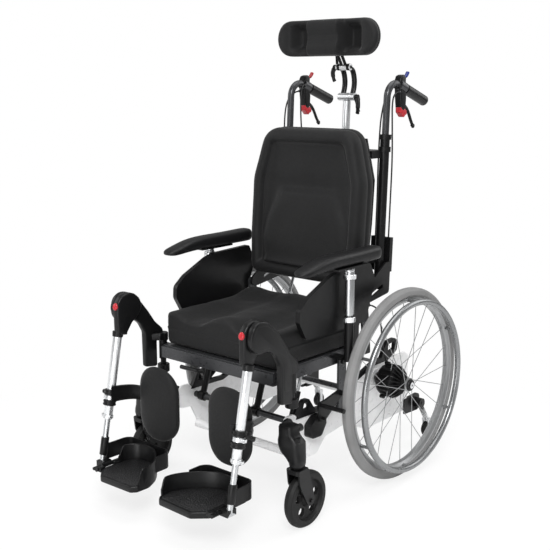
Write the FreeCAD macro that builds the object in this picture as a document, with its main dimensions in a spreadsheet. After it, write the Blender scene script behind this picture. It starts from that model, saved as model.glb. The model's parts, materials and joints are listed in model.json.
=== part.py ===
import FreeCAD, Part
import Sketcher
import math
import os
import re

# Tilt in space wheelchair, in millimetres.
# The chair faces -Y. Its own left side is +X, so left pieces are drawn first and mirrored.
# Heights are from the floor. Lengths along Y are written from the drive axle, and
# at() moves them, so that the origin lies on the floor under the middle of the chair.

V = FreeCAD.Vector
ALONG_X = V(1, 0, 0)
ALONG_Y = V(0, 1, 0)
UP = V(0, 0, 1)

doc = FreeCAD.newDocument("wheelchair")
sheet = doc.addObject("Spreadsheet::Sheet", "sizes")

# Driving dimensions, kept in the spreadsheet.
SIZES = {
    # fits
    "running_gap": 0.1,
    "clear_gap": 0.4,
    # drive wheel
    "wheel_radius": 305,
    "wheel_offset": 322,
    "tyre_width": 35,
    "tyre_depth": 29,
    "rim_depth": 15,
    "rim_width": 27,
    "rim_gap": 0.3,
    "handrim_radius": 266,
    "handrim_tube_radius": 9.75,
    "handrim_offset": 367,
    "handrim_tab_radius": 5,
    "drum_radius": 50,
    "drum_width": 42,
    "drum_offset": 262,
    "hub_flange_radius": 22,
    "hub_end_offset": 352,
    "spoke_radius": 1.1,
    "axle_radius": 6,
    "axle_end": 360,
    # base
    "plate_inner": 214,
    "plate_thick": 7,
    "plate_front": -452,
    "plate_rear": 190,
    "plate_front_top": 290,
    "plate_low": 141,
    "plate_lobe_low": 138,
    "plate_rear_top": 352,
    "cross_tube_radius": 13,
    "front_tube_back": -375,
    "front_tube_height": 150,
    "rear_tube_back": 90,
    "rear_tube_height": 200,
    "front_loop_back": -352,
    "rear_loop_back": 58,
    # tilt
    "tilt_back": -206,
    "tilt_height": 407,
    "tower_offset": 234,
    "tower_thick": 8,
    "tower_width": 36,
    "tilt_pin_radius": 7,
    # casters
    "caster_offset": 320,
    "caster_back": -516,
    "caster_trail": 36,
    "caster_radius": 83,
    "caster_width": 30,
    "housing_low": 187,
    "housing_top": 308,
    "housing_radius": 27,
    "stem_radius": 10,
    "fork_width": 5,
    "crown_thick": 13,
    # anti-tip supports
    "anti_back": 242,
    "anti_height": 158,
    "anti_offset": 238,
    "anti_wheel_back": 294,
    "anti_wheel_height": 51,
    "anti_wheel_radius": 25,
    "anti_wheel_width": 16,
    "anti_tube_radius": 9,
    # parking brakes
    "brake_back": -318,
    "brake_height": 261,
    "brake_clamp_thick": 26,
    "brake_bar_radius": 7,
    "brake_bar_back": -326,
    "brake_bar_height": 303,
    # tilt struts
    "strut_top_back": -330,
    "strut_top_height": 396,
    "strut_low_back": -380,
    "strut_low_height": 250,
    "strut_radius": 10,
    "strut_rod_radius": 5,
    "strut_bar_radius": 8,
    "strut_offset": 184,
    "strut_middle_offset": 45,
    # seat
    "seat_half": 228,
    "rail_low": 400,
    "rail_height": 35,
    "rail_width": 25,
    "seat_front": -512,
    "seat_rear": -52,
    "pan_thick": 4,
    "cushion_half": 225,
    "cushion_front": -500,
    "cushion_rear": -86,
    "cushion_front_height": 108,
    "cushion_rear_height": 124,
    "guard_inner": 241,
    "guard_thick": 16,
    # recline
    "recline_back": -90,
    "recline_height": 573,
    "recline_plate_inner": 229,
    "recline_plate_thick": 6,
    "recline_pin_radius": 7,
    "recline_strut_offset": 150,
    "recline_strut_back": -34,
    "recline_bar_radius": 6,
    "recline_stroke": 65,
    "open_pivot_gap": 2.2,
    "recline_strut_height": 415,
    "recline_top_height": 604,
    # back
    "cane_offset": 194,
    "cane_radius": 11,
    "cane_low_back": 44,
    "cane_low_height": 620,
    "cane_lean": 2.6,
    "column_radius": 15,
    "column_low": 585,
    "column_top": 1060,
    "back_low": 612,
    "back_top": 1092,
    "back_half": 218,
    "back_top_half": 172,
    "back_thick": 88,
    "back_face_low": -132,
    "back_face_top": -94,
    "shell_thick": 7,
    # cables
    "cable_radius": 2.5,
    "cable_outer": 16,
    "cable_inner": -34,
    "cable_depth": 22,
    "cable_box_low": 640,
    "cable_box_height": 110,
    # push handles
    "handle_top": 1247,
    "handle_end_back": 280,
    "handle_slope": 19,
    "handle_bend": 45,
    "grip_radius": 17,
    "grip_length": 116,
    # headrest
    "post_radius": 12.5,
    "post_back": 124,
    "post_low": 850,
    "post_top": 1174,
    "neck_low_height": 1187,
    "neck_top_back": 106,
    "neck_top_height": 1282,
    "head_half": 198,
    "head_low": 1314,
    "head_top": 1428,
    "head_back": 15,
    "head_thick": 62,
    # armrests
    "arm_post_offset": 285,
    "arm_post_back": -236,
    "arm_post_radius": 11,
    "arm_sleeve_radius": 14,
    "arm_sleeve_low": 424,
    "arm_sleeve_top": 562,
    "armpad_offset": 264,
    "armpad_front": -453,
    "armpad_rear": -67,
    "armpad_low": 710,
    "armpad_thick": 34,
    "armpad_half_width": 29,
    # legrests
    "hanger_offset": 263,
    "hanger_back": -473,
    "hanger_pin_radius": 9,
    "receiver_radius": 13,
    "receiver_low": 382,
    "receiver_top": 440,
    "knob_low": 338,
    "knee_back": -636,
    "knee_height": 573,
    "knee_radius": 47,
    "knee_plane": 265,
    "hanger_thick": 21,
    "knee_cover_thick": 23,
    "leg_lean": 11.3,
    "leg_offset": 263,
    "leg_back": -653,
    "leg_drop": 73,
    "leg_radius": 12.5,
    "leg_clearance": 125,
    "foot_tube_radius": 8.75,
    "foot_tube_hidden": 180,
    "calf_drop": 196,
    "calf_offset": 149,
    "calf_back": -606,
    "calf_height": 289,
    "calf_half_width": 64,
    "calf_half_height": 104,
    "calf_thick": 25,
    # footplates
    "foot_height": 118,
    "foot_thick": 24,
    "foot_inner": 76,
    "foot_outer": 236,
    "foot_front": -803,
    "foot_length": 168,
    "foot_hinge_offset": 244,
    "foot_hinge_radius": 5,
    "foot_hinge_drop": 6,
    "heel_height": 48,
    "heel_thick": 4,
}

# Sizes that follow from the others.
DERIVED = {
    "axle_back": "(0 - foot_front - max(wheel_radius; anti_wheel_back + anti_wheel_radius)) / 2",
    "axle_height": "wheel_radius",
    "tyre_seat_radius": "wheel_radius - tyre_depth",
    "knee_rise": "knee_height - receiver_top",
    "leg_height": "knee_height - leg_drop",
    "leg_length": "(leg_height - foot_height - leg_clearance) / cos(leg_lean)",
    "foot_tube_length": "(leg_height - foot_height + 4.4) / cos(leg_lean) - leg_length + foot_tube_hidden",
    "rail_top": "rail_low + rail_height",
    "pan_top": "rail_top + pan_thick",
    "plate_outer": "plate_inner + plate_thick",
    "strut_length": "sqrt((strut_top_back - strut_low_back)^2 + (strut_top_height - strut_low_height)^2)",
}

ALIASES = set(SIZES) | set(DERIVED)


def bound(text):
    """An expression in plain aliases, as the document writes it."""
    return re.sub(r"[a-z][a-z_0-9]*",
                  lambda m: "sizes." + m.group() if m.group() in ALIASES else m.group(), text)


def fill_sheet():
    """Write each size in a row of its own, its name beside its value."""
    rows = list(SIZES.items())
    for row, (name, value) in enumerate(rows, start=1):
        sheet.set("A%d" % row, name)
        sheet.set("B%d" % row, str(value))
        sheet.setAlias("B%d" % row, name)
    for row, (name, formula) in enumerate(DERIVED.items(), start=len(rows) + 1):
        sheet.set("A%d" % row, name)
        sheet.set("B%d" % row, "=" + formula)
        sheet.setAlias("B%d" % row, name)
    doc.recompute()


fill_sheet()


def num(text):
    """The number that an expression in the sheet's names stands for."""
    if isinstance(text, (int, float)):
        return float(text)
    return float(sheet.evalExpression(bound(text)))


def at(x, y, z):
    """A place in the part's frame, from a height and a distance behind the drive axle."""
    return V(num(x), num(y) + num("axle_back"), num(z))


def tie(item, **sizes):
    """Bind properties of an object to expressions in the sheet's names."""
    for name, text in sizes.items():
        if isinstance(text, (int, float)):
            setattr(item, name, text)
        else:
            item.setExpression(name, bound(text))
    return item


def turn_to(direction):
    return FreeCAD.Rotation(UP, direction)


def rod(name, radius, length, start, direction=ALONG_X):
    """A round bar from a start point along a direction."""
    item = tie(doc.addObject("Part::Cylinder", name), Radius=radius, Height=length)
    item.Placement = FreeCAD.Placement(start, turn_to(direction))
    return item


def rod_between(name, radius, start, end):
    return rod(name, radius, (end - start).Length, start, end - start)


def block(name, corner, x, y, z, lean=0):
    """A box from its low corner; lean turns it about X, top backwards."""
    item = tie(doc.addObject("Part::Box", name), Length=x, Width=y, Height=z)
    item.Placement = FreeCAD.Placement(corner, FreeCAD.Rotation(ALONG_X, -num(lean)))
    return item


def hoop(name, radius, tube_radius, centre, direction=ALONG_X):
    item = tie(doc.addObject("Part::Torus", name), Radius1=radius, Radius2=tube_radius)
    item.Placement = FreeCAD.Placement(centre, turn_to(direction))
    return item


def cut(name, base, *tools):
    item = doc.addObject("Part::Cut", name)
    item.Base = base
    item.Tool = tools[0] if len(tools) == 1 else fuse(name + "_tools", *tools)
    return item


def fuse(name, *pieces):
    item = doc.addObject("Part::MultiFuse", name)
    item.Shapes = list(pieces)
    return item


def together(name, *pieces):
    """Separate solids that share one sub-part."""
    item = doc.addObject("Part::Compound", name)
    item.Links = list(pieces)
    return item


def mirror(name, piece):
    """The same piece on the other side of the chair."""
    item = doc.addObject("Part::Mirroring", name)
    item.Source = piece
    item.Normal = ALONG_X
    return item


def ring(name, outer, inner, length, start, direction=ALONG_X):
    """A round sleeve: a bar with a bore right through."""
    return cut(name, rod(name + "_body", outer, length, start, direction),
               rod(name + "_bore", inner, length, start, direction))


def origin_plane(body, role):
    return next(item for item in body.Origin.OriginFeatures if item.Role == role)


def new_body(name, place=None, rotation=None):
    body = doc.addObject("PartDesign::Body", name)
    body.Placement = FreeCAD.Placement(place or V(), rotation or FreeCAD.Rotation())
    return body


def new_sketch(body, role="YZ_Plane", offset=0):
    sketch = body.newObject("Sketcher::SketchObject", body.Name + "_sketch")
    sketch.AttachmentSupport = [(origin_plane(body, role), "")]
    sketch.MapMode = "FlatFace"
    sketch.AttachmentOffset = FreeCAD.Placement(V(0, 0, num(offset)), FreeCAD.Rotation())
    return sketch


def pin_point(sketch, line, corner):
    """Hold a line's first end at a place given by two expressions."""
    for kind, text in zip(("DistanceX", "DistanceY"), corner):
        number = sketch.addConstraint(Sketcher.Constraint(kind, -1, 1, line, 1, num(text)))
        if not isinstance(text, (int, float)):
            sketch.setExpression("Constraints[%d]" % number, bound(text))


def draw(sketch, corners, radii):
    """A closed outline with straight sides and rounded corners, each corner bound to the sheet."""
    points = [V(num(a), num(b), 0) for a, b in corners]
    count = len(points)
    for i in range(count):
        sketch.addGeometry(Part.LineSegment(points[i], points[(i + 1) % count]), False)
    for i in range(count):
        sketch.addConstraint(Sketcher.Constraint("Coincident", i, 2, (i + 1) % count, 1))
    for i in range(count):
        pin_point(sketch, i, corners[i])
    if isinstance(radii, (int, float, str)):
        radii = [radii] * count
    for i, radius in enumerate(radii):
        if num(radius) <= 0:
            continue
        before = points[i] + (points[i - 1] - points[i]) * 0.4
        after = points[i] + (points[(i + 1) % count] - points[i]) * 0.4
        arc = sketch.GeometryCount
        sketch.fillet((i - 1) % count, i, before, after, num(radius), True, True)
        number = sketch.addConstraint(Sketcher.Constraint("Radius", arc, num(radius)))
        if isinstance(radius, str):
            sketch.setExpression("Constraints[%d]" % number, bound(radius))
    return sketch


def hole(sketch, centre, radius):
    circle = sketch.addGeometry(Part.Circle(V(num(centre[0]), num(centre[1]), 0), UP, num(radius)), False)
    number = sketch.addConstraint(Sketcher.Constraint("Radius", circle, num(radius)))
    if isinstance(radius, str):
        sketch.setExpression("Constraints[%d]" % number, bound(radius))
    for kind, text in zip(("DistanceX", "DistanceY"), centre):
        number = sketch.addConstraint(Sketcher.Constraint(kind, -1, 1, circle, 3, num(text)))
        if isinstance(text, str):
            sketch.setExpression("Constraints[%d]" % number, bound(text))


def plate(name, start, thick, corners, radii, holes=()):
    """A flat piece: an outline in (y, z), padded along X from a start offset."""
    body = new_body(name, at(start, 0, 0))
    sketch = draw(new_sketch(body), corners, radii)
    for centre, radius in holes:
        hole(sketch, centre, radius)
    pad = body.newObject("PartDesign::Pad", name + "_pad")
    pad.Profile = sketch
    tie(pad, Length=thick)
    return body


def slab(name, height, thick, corners, radii, holes=()):
    """A level piece: an outline in (x, y), padded upwards from a height."""
    body = new_body(name, at(0, 0, height))
    sketch = draw(new_sketch(body, "XY_Plane"), corners, radii)
    for centre, radius in holes:
        hole(sketch, centre, radius)
    pad = body.newObject("PartDesign::Pad", name + "_pad")
    pad.Profile = sketch
    tie(pad, Length=thick)
    return body


def turned(name, centre, corners, radii=0, direction=ALONG_X):
    """A turned piece: an outline in (along the axis, radius), swept round its own axis."""
    body = new_body(name, centre, FreeCAD.Rotation(ALONG_X, direction))
    sketch = draw(new_sketch(body, "XY_Plane"), corners, radii)
    turn = body.newObject("PartDesign::Revolution", name + "_turn")
    turn.Profile = sketch
    turn.ReferenceAxis = (sketch, ["H_Axis"])
    turn.Angle = 360
    return body


def loft(name, sections):
    """A solid through closed sections, for soft forms that no pad or turn makes."""
    item = doc.addObject("Part::Feature", name)
    item.Shape = Part.makeLoft(sections, True, True)
    return item


def rounded_wire(points, radius):
    """A closed wire through corners in space, its corners rounded to one radius."""
    count = len(points)
    pieces = []
    ends = []
    for i in range(count):
        to_last = (points[i - 1] - points[i]).normalize()
        to_next = (points[(i + 1) % count] - points[i]).normalize()
        half = to_last.getAngle(to_next) / 2
        reach = radius / math.tan(half)
        first = points[i] + to_last * reach
        last = points[i] + to_next * reach
        bisector = (to_last + to_next).normalize()
        middle = points[i] + bisector * (radius / math.sin(half) - radius)
        ends.append((first, middle, last))
    for i in range(count):
        first, middle, last = ends[i]
        pieces.append(Part.Arc(first, middle, last).toShape())
        pieces.append(Part.LineSegment(last, ends[(i + 1) % count][0]).toShape())
    return Part.Wire(pieces)


def smooth_path(points, largest=()):
    """Straight runs joined by tangent arcs, each as large as its two runs and its own limit allow."""
    share = 0.45
    edges = []
    radii = []
    last = points[0]
    for i in range(1, len(points) - 1):
        back = points[i - 1] - points[i]
        ahead = points[i + 1] - points[i]
        turn = math.pi - back.getAngle(ahead)
        radius = share * min(back.Length, ahead.Length) / math.tan(turn / 2)
        if largest:
            radius = min(radius, largest[min(i, len(largest)) - 1])
        reach = radius * math.tan(turn / 2)
        radii.append(radius)
        back.normalize()
        ahead.normalize()
        first = points[i] + back * reach
        third = points[i] + ahead * reach
        bisector = (back + ahead).normalize()
        middle = points[i] + bisector * (radius / math.cos(turn / 2) - radius)
        edges.append(Part.LineSegment(last, first).toShape())
        edges.append(Part.Arc(first, middle, third).toShape())
        last = third
    edges.append(Part.LineSegment(last, points[-1]).toShape())
    return Part.Wire(edges), radii


def tube_along(name, points, radius, largest=()):
    """A round tube or cord along a path of runs and arcs."""
    path, radii = smooth_path(points, largest)
    tangent = points[1] - points[0]
    section = Part.Wire(Part.makeCircle(num(radius), points[0], tangent))
    item = doc.addObject("Part::Feature", name)
    item.Shape = path.makePipeShell([section], True, False)
    return item, radii


subparts = {}


def subpart(name, piece):
    """Give a finished piece the name that it is kept under."""
    piece.Label = name
    subparts[name] = piece
    return piece


def both_sides(name, piece):
    """One sub-part that holds the left piece and its mirror."""
    return subpart(name, together(name, piece, mirror(name + "_mirror", piece)))


def left_and_right(name, piece):
    """Two sub-parts: the left piece, and its mirror on the right."""
    subpart(name + "_left", piece)
    subpart(name + "_right", mirror(name + "_right", piece))


# Drive wheels

def make_drive_wheel():
    hub = at("wheel_offset", 0, "axle_height")
    tyre = turned("tyre", hub,
                  [("-tyre_width / 2", "tyre_seat_radius + 6"), ("-tyre_width / 2 + 3", "wheel_radius - 9"),
                   ("-6", "wheel_radius"), ("6", "wheel_radius"),
                   ("tyre_width / 2 - 3", "wheel_radius - 9"), ("tyre_width / 2", "tyre_seat_radius + 6"),
                   ("rim_width / 2 - 1", "tyre_seat_radius"), ("1 - rim_width / 2", "tyre_seat_radius")],
                  [4, 5, 4, 4, 5, 4, 2, 2])
    left_and_right("tyre", tyre)
    rim = turned("rim", hub,
                 [("-rim_width / 2", "tyre_seat_radius - rim_gap"),
                  ("rim_width / 2", "tyre_seat_radius - rim_gap"),
                  ("rim_width / 2", "tyre_seat_radius - 7"), ("7", "tyre_seat_radius - rim_depth"),
                  ("-7", "tyre_seat_radius - rim_depth"), ("-rim_width / 2", "tyre_seat_radius - 7")],
                 0)
    left_and_right("wheel", fuse("wheel_body", rim, make_hub()))

    parts = [hoop("handrim_hoop", "handrim_radius", "handrim_tube_radius",
                  at("handrim_offset", 0, "axle_height"))]
    tabs = 6
    for i in range(int(tabs)):
        angle = math.radians(360 / tabs * (i + 0.5))
        place = at("wheel_offset + rim_width / 2 + rim_gap", 0, "axle_height")
        place = place + V(0, math.cos(angle),
                          math.sin(angle)) * num("tyre_seat_radius - handrim_tab_radius - 1")
        parts.append(rod("handrim_tab_%d" % i, "handrim_tab_radius",
                         "handrim_offset - wheel_offset - rim_width / 2 - rim_gap", place))
    left_and_right("handrim", fuse("handrim_body", *parts))


def make_hub():
    """Brake drum, spindle and outer flange in one turned shell, with the laced spokes."""
    centre = at(0, 0, "axle_height")
    bore = "axle_radius + running_gap"
    shell = turned("hub_shell", centre,
                   [("drum_offset", bore), ("drum_offset", "drum_radius"),
                    ("drum_offset + drum_width", "drum_radius"), ("drum_offset + drum_width + 10", 22),
                    ("hub_end_offset - 9", 15), ("hub_end_offset - 7", "hub_flange_radius"),
                    ("hub_end_offset - 3", "hub_flange_radius"), ("hub_end_offset", 15), ("hub_end_offset",
                                                                                          bore)],
                   0)
    spokes = []
    laced = 12
    flanges = (("drum_offset + drum_width - 6", "drum_radius - 3", 40),
               ("hub_end_offset - 5", "hub_flange_radius - 3", 62))
    for side, (offset, radius, lead) in enumerate(flanges):
        for i in range(int(laced)):
            turn = 1 if i % 2 else -1
            outer = math.radians(360 / laced * i + side * 180 / laced)
            inner = outer + math.radians(lead) * turn
            start = at(offset, 0, "axle_height") + V(0, math.cos(inner), math.sin(inner)) * num(radius)
            reach = num("tyre_seat_radius - rim_depth + 3")
            end = at("wheel_offset", 0, "axle_height") + V(0, math.cos(outer), math.sin(outer)) * reach
            spokes.append(rod_between("spoke_%d_%d" % (side, i), "spoke_radius", start, end))
    return fuse("hub_and_spokes", shell, *spokes)


# Base

def make_base():
    corners = [("plate_front", "plate_front_top - 72"), ("plate_front", "plate_front_top"),
               ("plate_front + 40", "plate_front_top"), ("plate_front + 62", "plate_front_top - 20"),
               (-257, "plate_front_top - 18"), (-16, "plate_rear_top"), ("plate_rear - 24", "plate_rear_top"),
               ("plate_rear", "plate_rear_top - 14"), ("plate_rear", "plate_low + 6"), (-43, "plate_low"),
               (-170, 191), (-262, 180), (-302, "plate_lobe_low"), (-362, "plate_lobe_low"), (-402, 214)]
    radii = [12, 14, 8, 8, 30, 30, 12, 10, 14, 20, 20, 14, 22, 22, 14]
    holes = [((60 + 24 * i, "plate_low + 16"), 2.5) for i in range(3)]
    side = plate("side_plate_sheet", "plate_inner", "plate_thick", corners, radii, holes)
    boss = rod("axle_boss", 27, 11, at("plate_inner", 0, "axle_height"))
    side = cut("side_plate", fuse("side_plate_with_boss", side, boss),
               rod("axle_hole", "axle_radius + running_gap", 40, at("plate_inner - 10", 0, "axle_height")))
    both_sides("side_plates", side)

    width = "plate_inner * 2"
    left = "-plate_inner"
    tubes = [rod("front_tube", "cross_tube_radius", width, at(left, "front_tube_back", "front_tube_height")),
             rod("rear_tube", "cross_tube_radius", width, at(left, "rear_tube_back", "rear_tube_height")),
             rod("strut_tube", "strut_bar_radius + 2", width, at(left, "strut_low_back", "strut_low_height"))]
    tower = plate("tower_bar", "tower_offset", "tower_thick",
                  [("tilt_back - tower_width / 2", 252), ("tilt_back + tower_width / 2", 252),
                   ("tilt_back + tower_width / 2", "tilt_height + 20"),
                   ("tilt_back - tower_width / 2", "tilt_height + 20")],
                  [8, 8, "tower_width / 2 - 1", "tower_width / 2 - 1"],
                  [(("tilt_back", "tilt_height"), "tilt_pin_radius + running_gap")])
    spacers = [rod("tower_spacer_%d" % i, 6, "tower_offset - plate_outer + 1",
                   at("plate_outer", "tilt_back", height))
               for i, height in enumerate((262, 276))]
    tower = fuse("tower", tower, *spacers)
    subpart("base_tubes", together("base_tubes", *tubes, tower, mirror("tower_right", tower)))

    head = rod("swivel_head", "housing_radius", "housing_top - housing_low - 14",
               at("caster_offset", "caster_back", "housing_low"), UP)
    arm = plate("housing_arm", "plate_outer + clear_gap", "caster_offset - plate_outer - clear_gap",
                [("caster_back - 24", "housing_top - 62"), ("caster_back - 24", "housing_top - 8"),
                 ("caster_back + 10", "housing_top"), ("plate_front + 34", "housing_top - 30"),
                 ("plate_front + 34", "plate_front_top - 70"), ("caster_back + 24", "housing_low + 4")],
                [14, 12, 12, 14, 14, 12])
    cap = rod("housing_cap", "housing_radius - 10", 6,
              at("caster_offset", "caster_back", "housing_top - 14"), UP)
    housing = cut("caster_housing", fuse("housing_solid", head, arm, cap),
                  rod("stem_bore", "stem_radius + running_gap", 90,
                      at("caster_offset", "caster_back", "housing_low - 1"), UP))
    both_sides("caster_housings", housing)

    both_sides("tie_down_loops", make_tie_downs())

    drum = turned("backing_plate", at(0, 0, "axle_height"),
                  [("plate_outer + 5", "axle_radius"), ("plate_outer + 5", 16), ("drum_offset - 16", 30),
                   ("drum_offset - 8", "drum_radius - 3"), ("drum_offset - clear_gap", "drum_radius"),
                   ("drum_offset - clear_gap", "axle_radius")], 0)
    arm_place = at("drum_offset - 12", 20, "axle_height + 22")
    lever = block("drum_lever", arm_place, 5, 12, 34, -24)
    axle = rod("axle", "axle_radius", "axle_end - plate_inner + 4", at("plate_inner - 4", 0, "axle_height"))
    nut = rod("axle_nut", 13, 6, at("axle_end - 6", 0, "axle_height"))
    both_sides("drum_brakes", fuse("drum_brake", drum, lever, axle, nut))

    brake = plate("brake_clamp", "plate_outer", "brake_clamp_thick",
                  [("brake_back - 46", "brake_height - 56"), ("brake_back - 46", "brake_height - 16"),
                   ("brake_back - 16", "brake_height + 6"), ("brake_back + 16", "brake_height + 6"),
                   ("brake_back + 30", "brake_height - 22"), ("brake_back + 6", "brake_height - 58")],
                  [14, 12, 6, 6, 12, 14])
    pin = rod("brake_pin", 5, 18, at("plate_outer + brake_clamp_thick", "brake_back", "brake_height"))
    anti = plate("anti_tip_clamp", "plate_inner", "anti_offset - 12 - plate_inner - clear_gap",
                 [("plate_rear - 22", "anti_height - 26"), ("plate_rear - 22", "anti_height + 26"),
                  ("anti_back + 20", "anti_height + 30"), ("anti_back + 20", "anti_height - 30")],
                 [6, 6, 14, 14])
    anti_pin = rod("anti_pin", 6, 26, at("anti_offset - 12 - clear_gap", "anti_back", "anti_height"))
    anti = cut("anti_tip_block", anti, block("plate_slot", at("plate_inner - 1", "plate_rear - 40", 100),
                                            "plate_thick + 1 + clear_gap", 40, 120))
    both_sides("base_clamps", together("base_clamp_set", fuse("brake_mount", brake, pin),
                                       fuse("anti_tip_mount", anti, anti_pin)))


def make_tie_downs():
    """A black strip along the plate's top edge, with a lashing loop at each end."""
    front = "front_loop_back"
    rear = "rear_loop_back"
    strip = plate("tie_down_strip", "plate_inner - 3", "plate_thick + 6",
                  [(front + " - 52", "plate_front_top - 18"), (-257, "plate_front_top - 22"),
                   (-16, "plate_rear_top - 6"), (rear + " + 4", "plate_rear_top - 6"),
                   (rear + " + 58", "plate_rear_top + 18"), (rear + " + 62", "plate_rear_top + 46"),
                   (rear + " + 46", "plate_rear_top + 62"), (rear + " + 2", "plate_rear_top + 60"),
                   (rear + " - 16", "plate_rear_top + 36"), (rear + " - 30", "plate_rear_top + 10"),
                   (-20, "plate_rear_top + 7"), (-257, "plate_front_top - 9"),
                   (front + " + 34", "plate_front_top - 6"), (front + " + 6", "plate_front_top + 32"),
                   (front + " - 22", "plate_front_top + 34"), (front + " - 40", "plate_front_top")],
                  [0, 20, 20, 8, 14, 12, 14, 14, 10, 8, 10, 20, 8, 12, 12, 6])
    window = plate("front_window", "plate_inner - 10", 30,
                   [("front_loop_back - 24", "plate_front_top + 2"),
                    ("front_loop_back + 14", "plate_front_top + 2"),
                    ("front_loop_back - 2", "plate_front_top + 23"), ("front_loop_back - 15",
                                                                      "plate_front_top + 24")],
                   [5, 5, 5, 5])
    rear_window = plate("rear_window", "plate_inner - 10", 30,
                        [("rear_loop_back + 6", "plate_rear_top + 18"),
                         ("rear_loop_back + 44", "plate_rear_top + 26"),
                         ("rear_loop_back + 46", "plate_rear_top + 42"), ("rear_loop_back + 38",
                                                                          "plate_rear_top + 50"),
                         ("rear_loop_back + 8", "plate_rear_top + 48")],
                        [5, 5, 4, 5, 6])
    return cut("tie_downs", strip, window, rear_window, make_plate_groove())


def make_plate_groove():
    """The side plate, grown a little, which the strips straddle."""
    return plate("plate_groove", "plate_inner - clear_gap", "plate_thick + clear_gap * 2",
                 [(-500, 100), (-500, "plate_front_top + 1"), (-408, "plate_front_top + 1"),
                  (-386, "plate_front_top - 17"), (-257, "plate_front_top - 17"),
                  (-16, "plate_rear_top + 1"), ("plate_rear + 20",
                                                "plate_rear_top + 1"), ("plate_rear + 20", 100)],
                 0)


# Casters

def make_casters():
    wheel_back = "caster_back + caster_trail"
    wheel = turned("caster_tyre", at("caster_offset", wheel_back, "caster_radius"),
                   [("-caster_width / 2", "axle_radius + running_gap"), ("-caster_width / 2", 18),
                    ("-6", 22), ("-6", "caster_radius - 26"), ("-caster_width / 2", "caster_radius - 22"),
                    ("-caster_width / 2 + 1", "caster_radius - 6"), ("-5", "caster_radius"), ("5",
                                                                                              "caster_radius"),
                    ("caster_width / 2 - 1", "caster_radius - 6"), ("caster_width / 2", "caster_radius - 22"),
                    ("6", "caster_radius - 26"), ("6", 22), ("caster_width / 2", 18),
                    ("caster_width / 2", "axle_radius + running_gap")],
                   [0, 0, 0, 0, 0, 5, 3, 3, 5, 0, 0, 0, 0, 0])
    windows = []
    spokes = 5
    for i in range(int(spokes)):
        angle = math.radians(360 / spokes * i + 90)
        place = at("caster_offset - caster_width / 2 - 5", wheel_back, "caster_radius")
        place = place + V(0, math.cos(angle), math.sin(angle)) * num("(caster_radius - 26 + 22) / 2")
        windows.append(rod("caster_window_%d" % i, 13, "caster_width + 10", place))
    left_and_right("caster_wheel", cut("caster_wheel_body", wheel, *windows))

    crown_top = "housing_low - 1 - clear_gap"
    crown = slab("fork_crown", "housing_low - 1 - clear_gap - crown_thick", "crown_thick",
                 [("caster_offset - caster_width / 2 - 3 - fork_width", "caster_back - 24"),
                  ("caster_offset + caster_width / 2 + 3 + fork_width", "caster_back - 24"),
                  ("caster_offset + caster_width / 2 + 3 + fork_width", "caster_back + 24"),
                  ("caster_offset - caster_width / 2 - 3 - fork_width", "caster_back + 24")],
                 [10, 10, 6, 6])
    leg = plate("fork_leg", "caster_offset + caster_width / 2 + 3", "fork_width",
                [("caster_back - 20", crown_top), ("caster_back + 22", crown_top),
                 ("caster_back + caster_trail + 15", "caster_radius + 4"),
                 ("caster_back + caster_trail + 8", "caster_radius - 15"),
                 ("caster_back + caster_trail - 14", "caster_radius - 12"), ("caster_back - 14",
                                                                             "caster_radius + 57")],
                [4, 6, 12, 12, 12, 20])
    other = doc.addObject("Part::Mirroring", "fork_leg_inner")
    other.Source = leg
    other.Normal = ALONG_X
    other.Base = at("caster_offset", 0, 0)
    stem = rod("stem", "stem_radius", 88, at("caster_offset", "caster_back", crown_top), UP)
    washer = rod("stem_washer", "stem_radius + 5", 1, at("caster_offset", "caster_back", crown_top), UP)
    bolt = rod("caster_axle", "axle_radius", "caster_width + 14 + fork_width * 2",
               at("caster_offset - caster_width / 2 - 7 - fork_width", wheel_back, "caster_radius"))
    left_and_right("caster_fork", fuse("caster_fork_body", crown, leg, other, stem, washer, bolt))


# Anti-tip supports and parking brakes

def make_anti_tip():
    pivot = at("anti_offset - 12", "anti_back", "anti_height")
    wheel = at("anti_offset", "anti_wheel_back", "anti_wheel_height")
    head = rod("anti_head", 17, 24, pivot)
    tube_end = at("anti_offset", "anti_wheel_back", "anti_wheel_height + anti_wheel_radius + 9")
    tube = rod_between("anti_tube", "anti_tube_radius", at("anti_offset", "anti_back", "anti_height"),
                       tube_end)
    crown = block("anti_crown", tube_end + V(-13, -9, -5), 26, 18, 9)
    cheeks = [block("anti_cheek_%d" % i, wheel + V(x, -7, -6), 4, 14, "anti_wheel_radius + 12")
              for i, x in enumerate((-13, 9))]
    pin = rod("anti_wheel_pin", 4, 26, wheel - ALONG_X * 13)
    arm = cut("anti_tip_arm", fuse("anti_arm_solid", head, tube, crown, *cheeks, pin),
              rod("anti_bore", 6.1, 40, pivot - ALONG_X * 5))
    left_and_right("anti_tip_arm", arm)
    roller = turned("anti_tip_roller", wheel,
                    [("-anti_wheel_width / 2", 4.1), ("-anti_wheel_width / 2", "anti_wheel_radius - 3"),
                     ("3 - anti_wheel_width / 2", "anti_wheel_radius"),
                     ("anti_wheel_width / 2 - 3", "anti_wheel_radius"),
                     ("anti_wheel_width / 2", "anti_wheel_radius - 3"), ("anti_wheel_width / 2", 4.1)], 0)
    left_and_right("anti_tip_wheel", roller)


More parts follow.
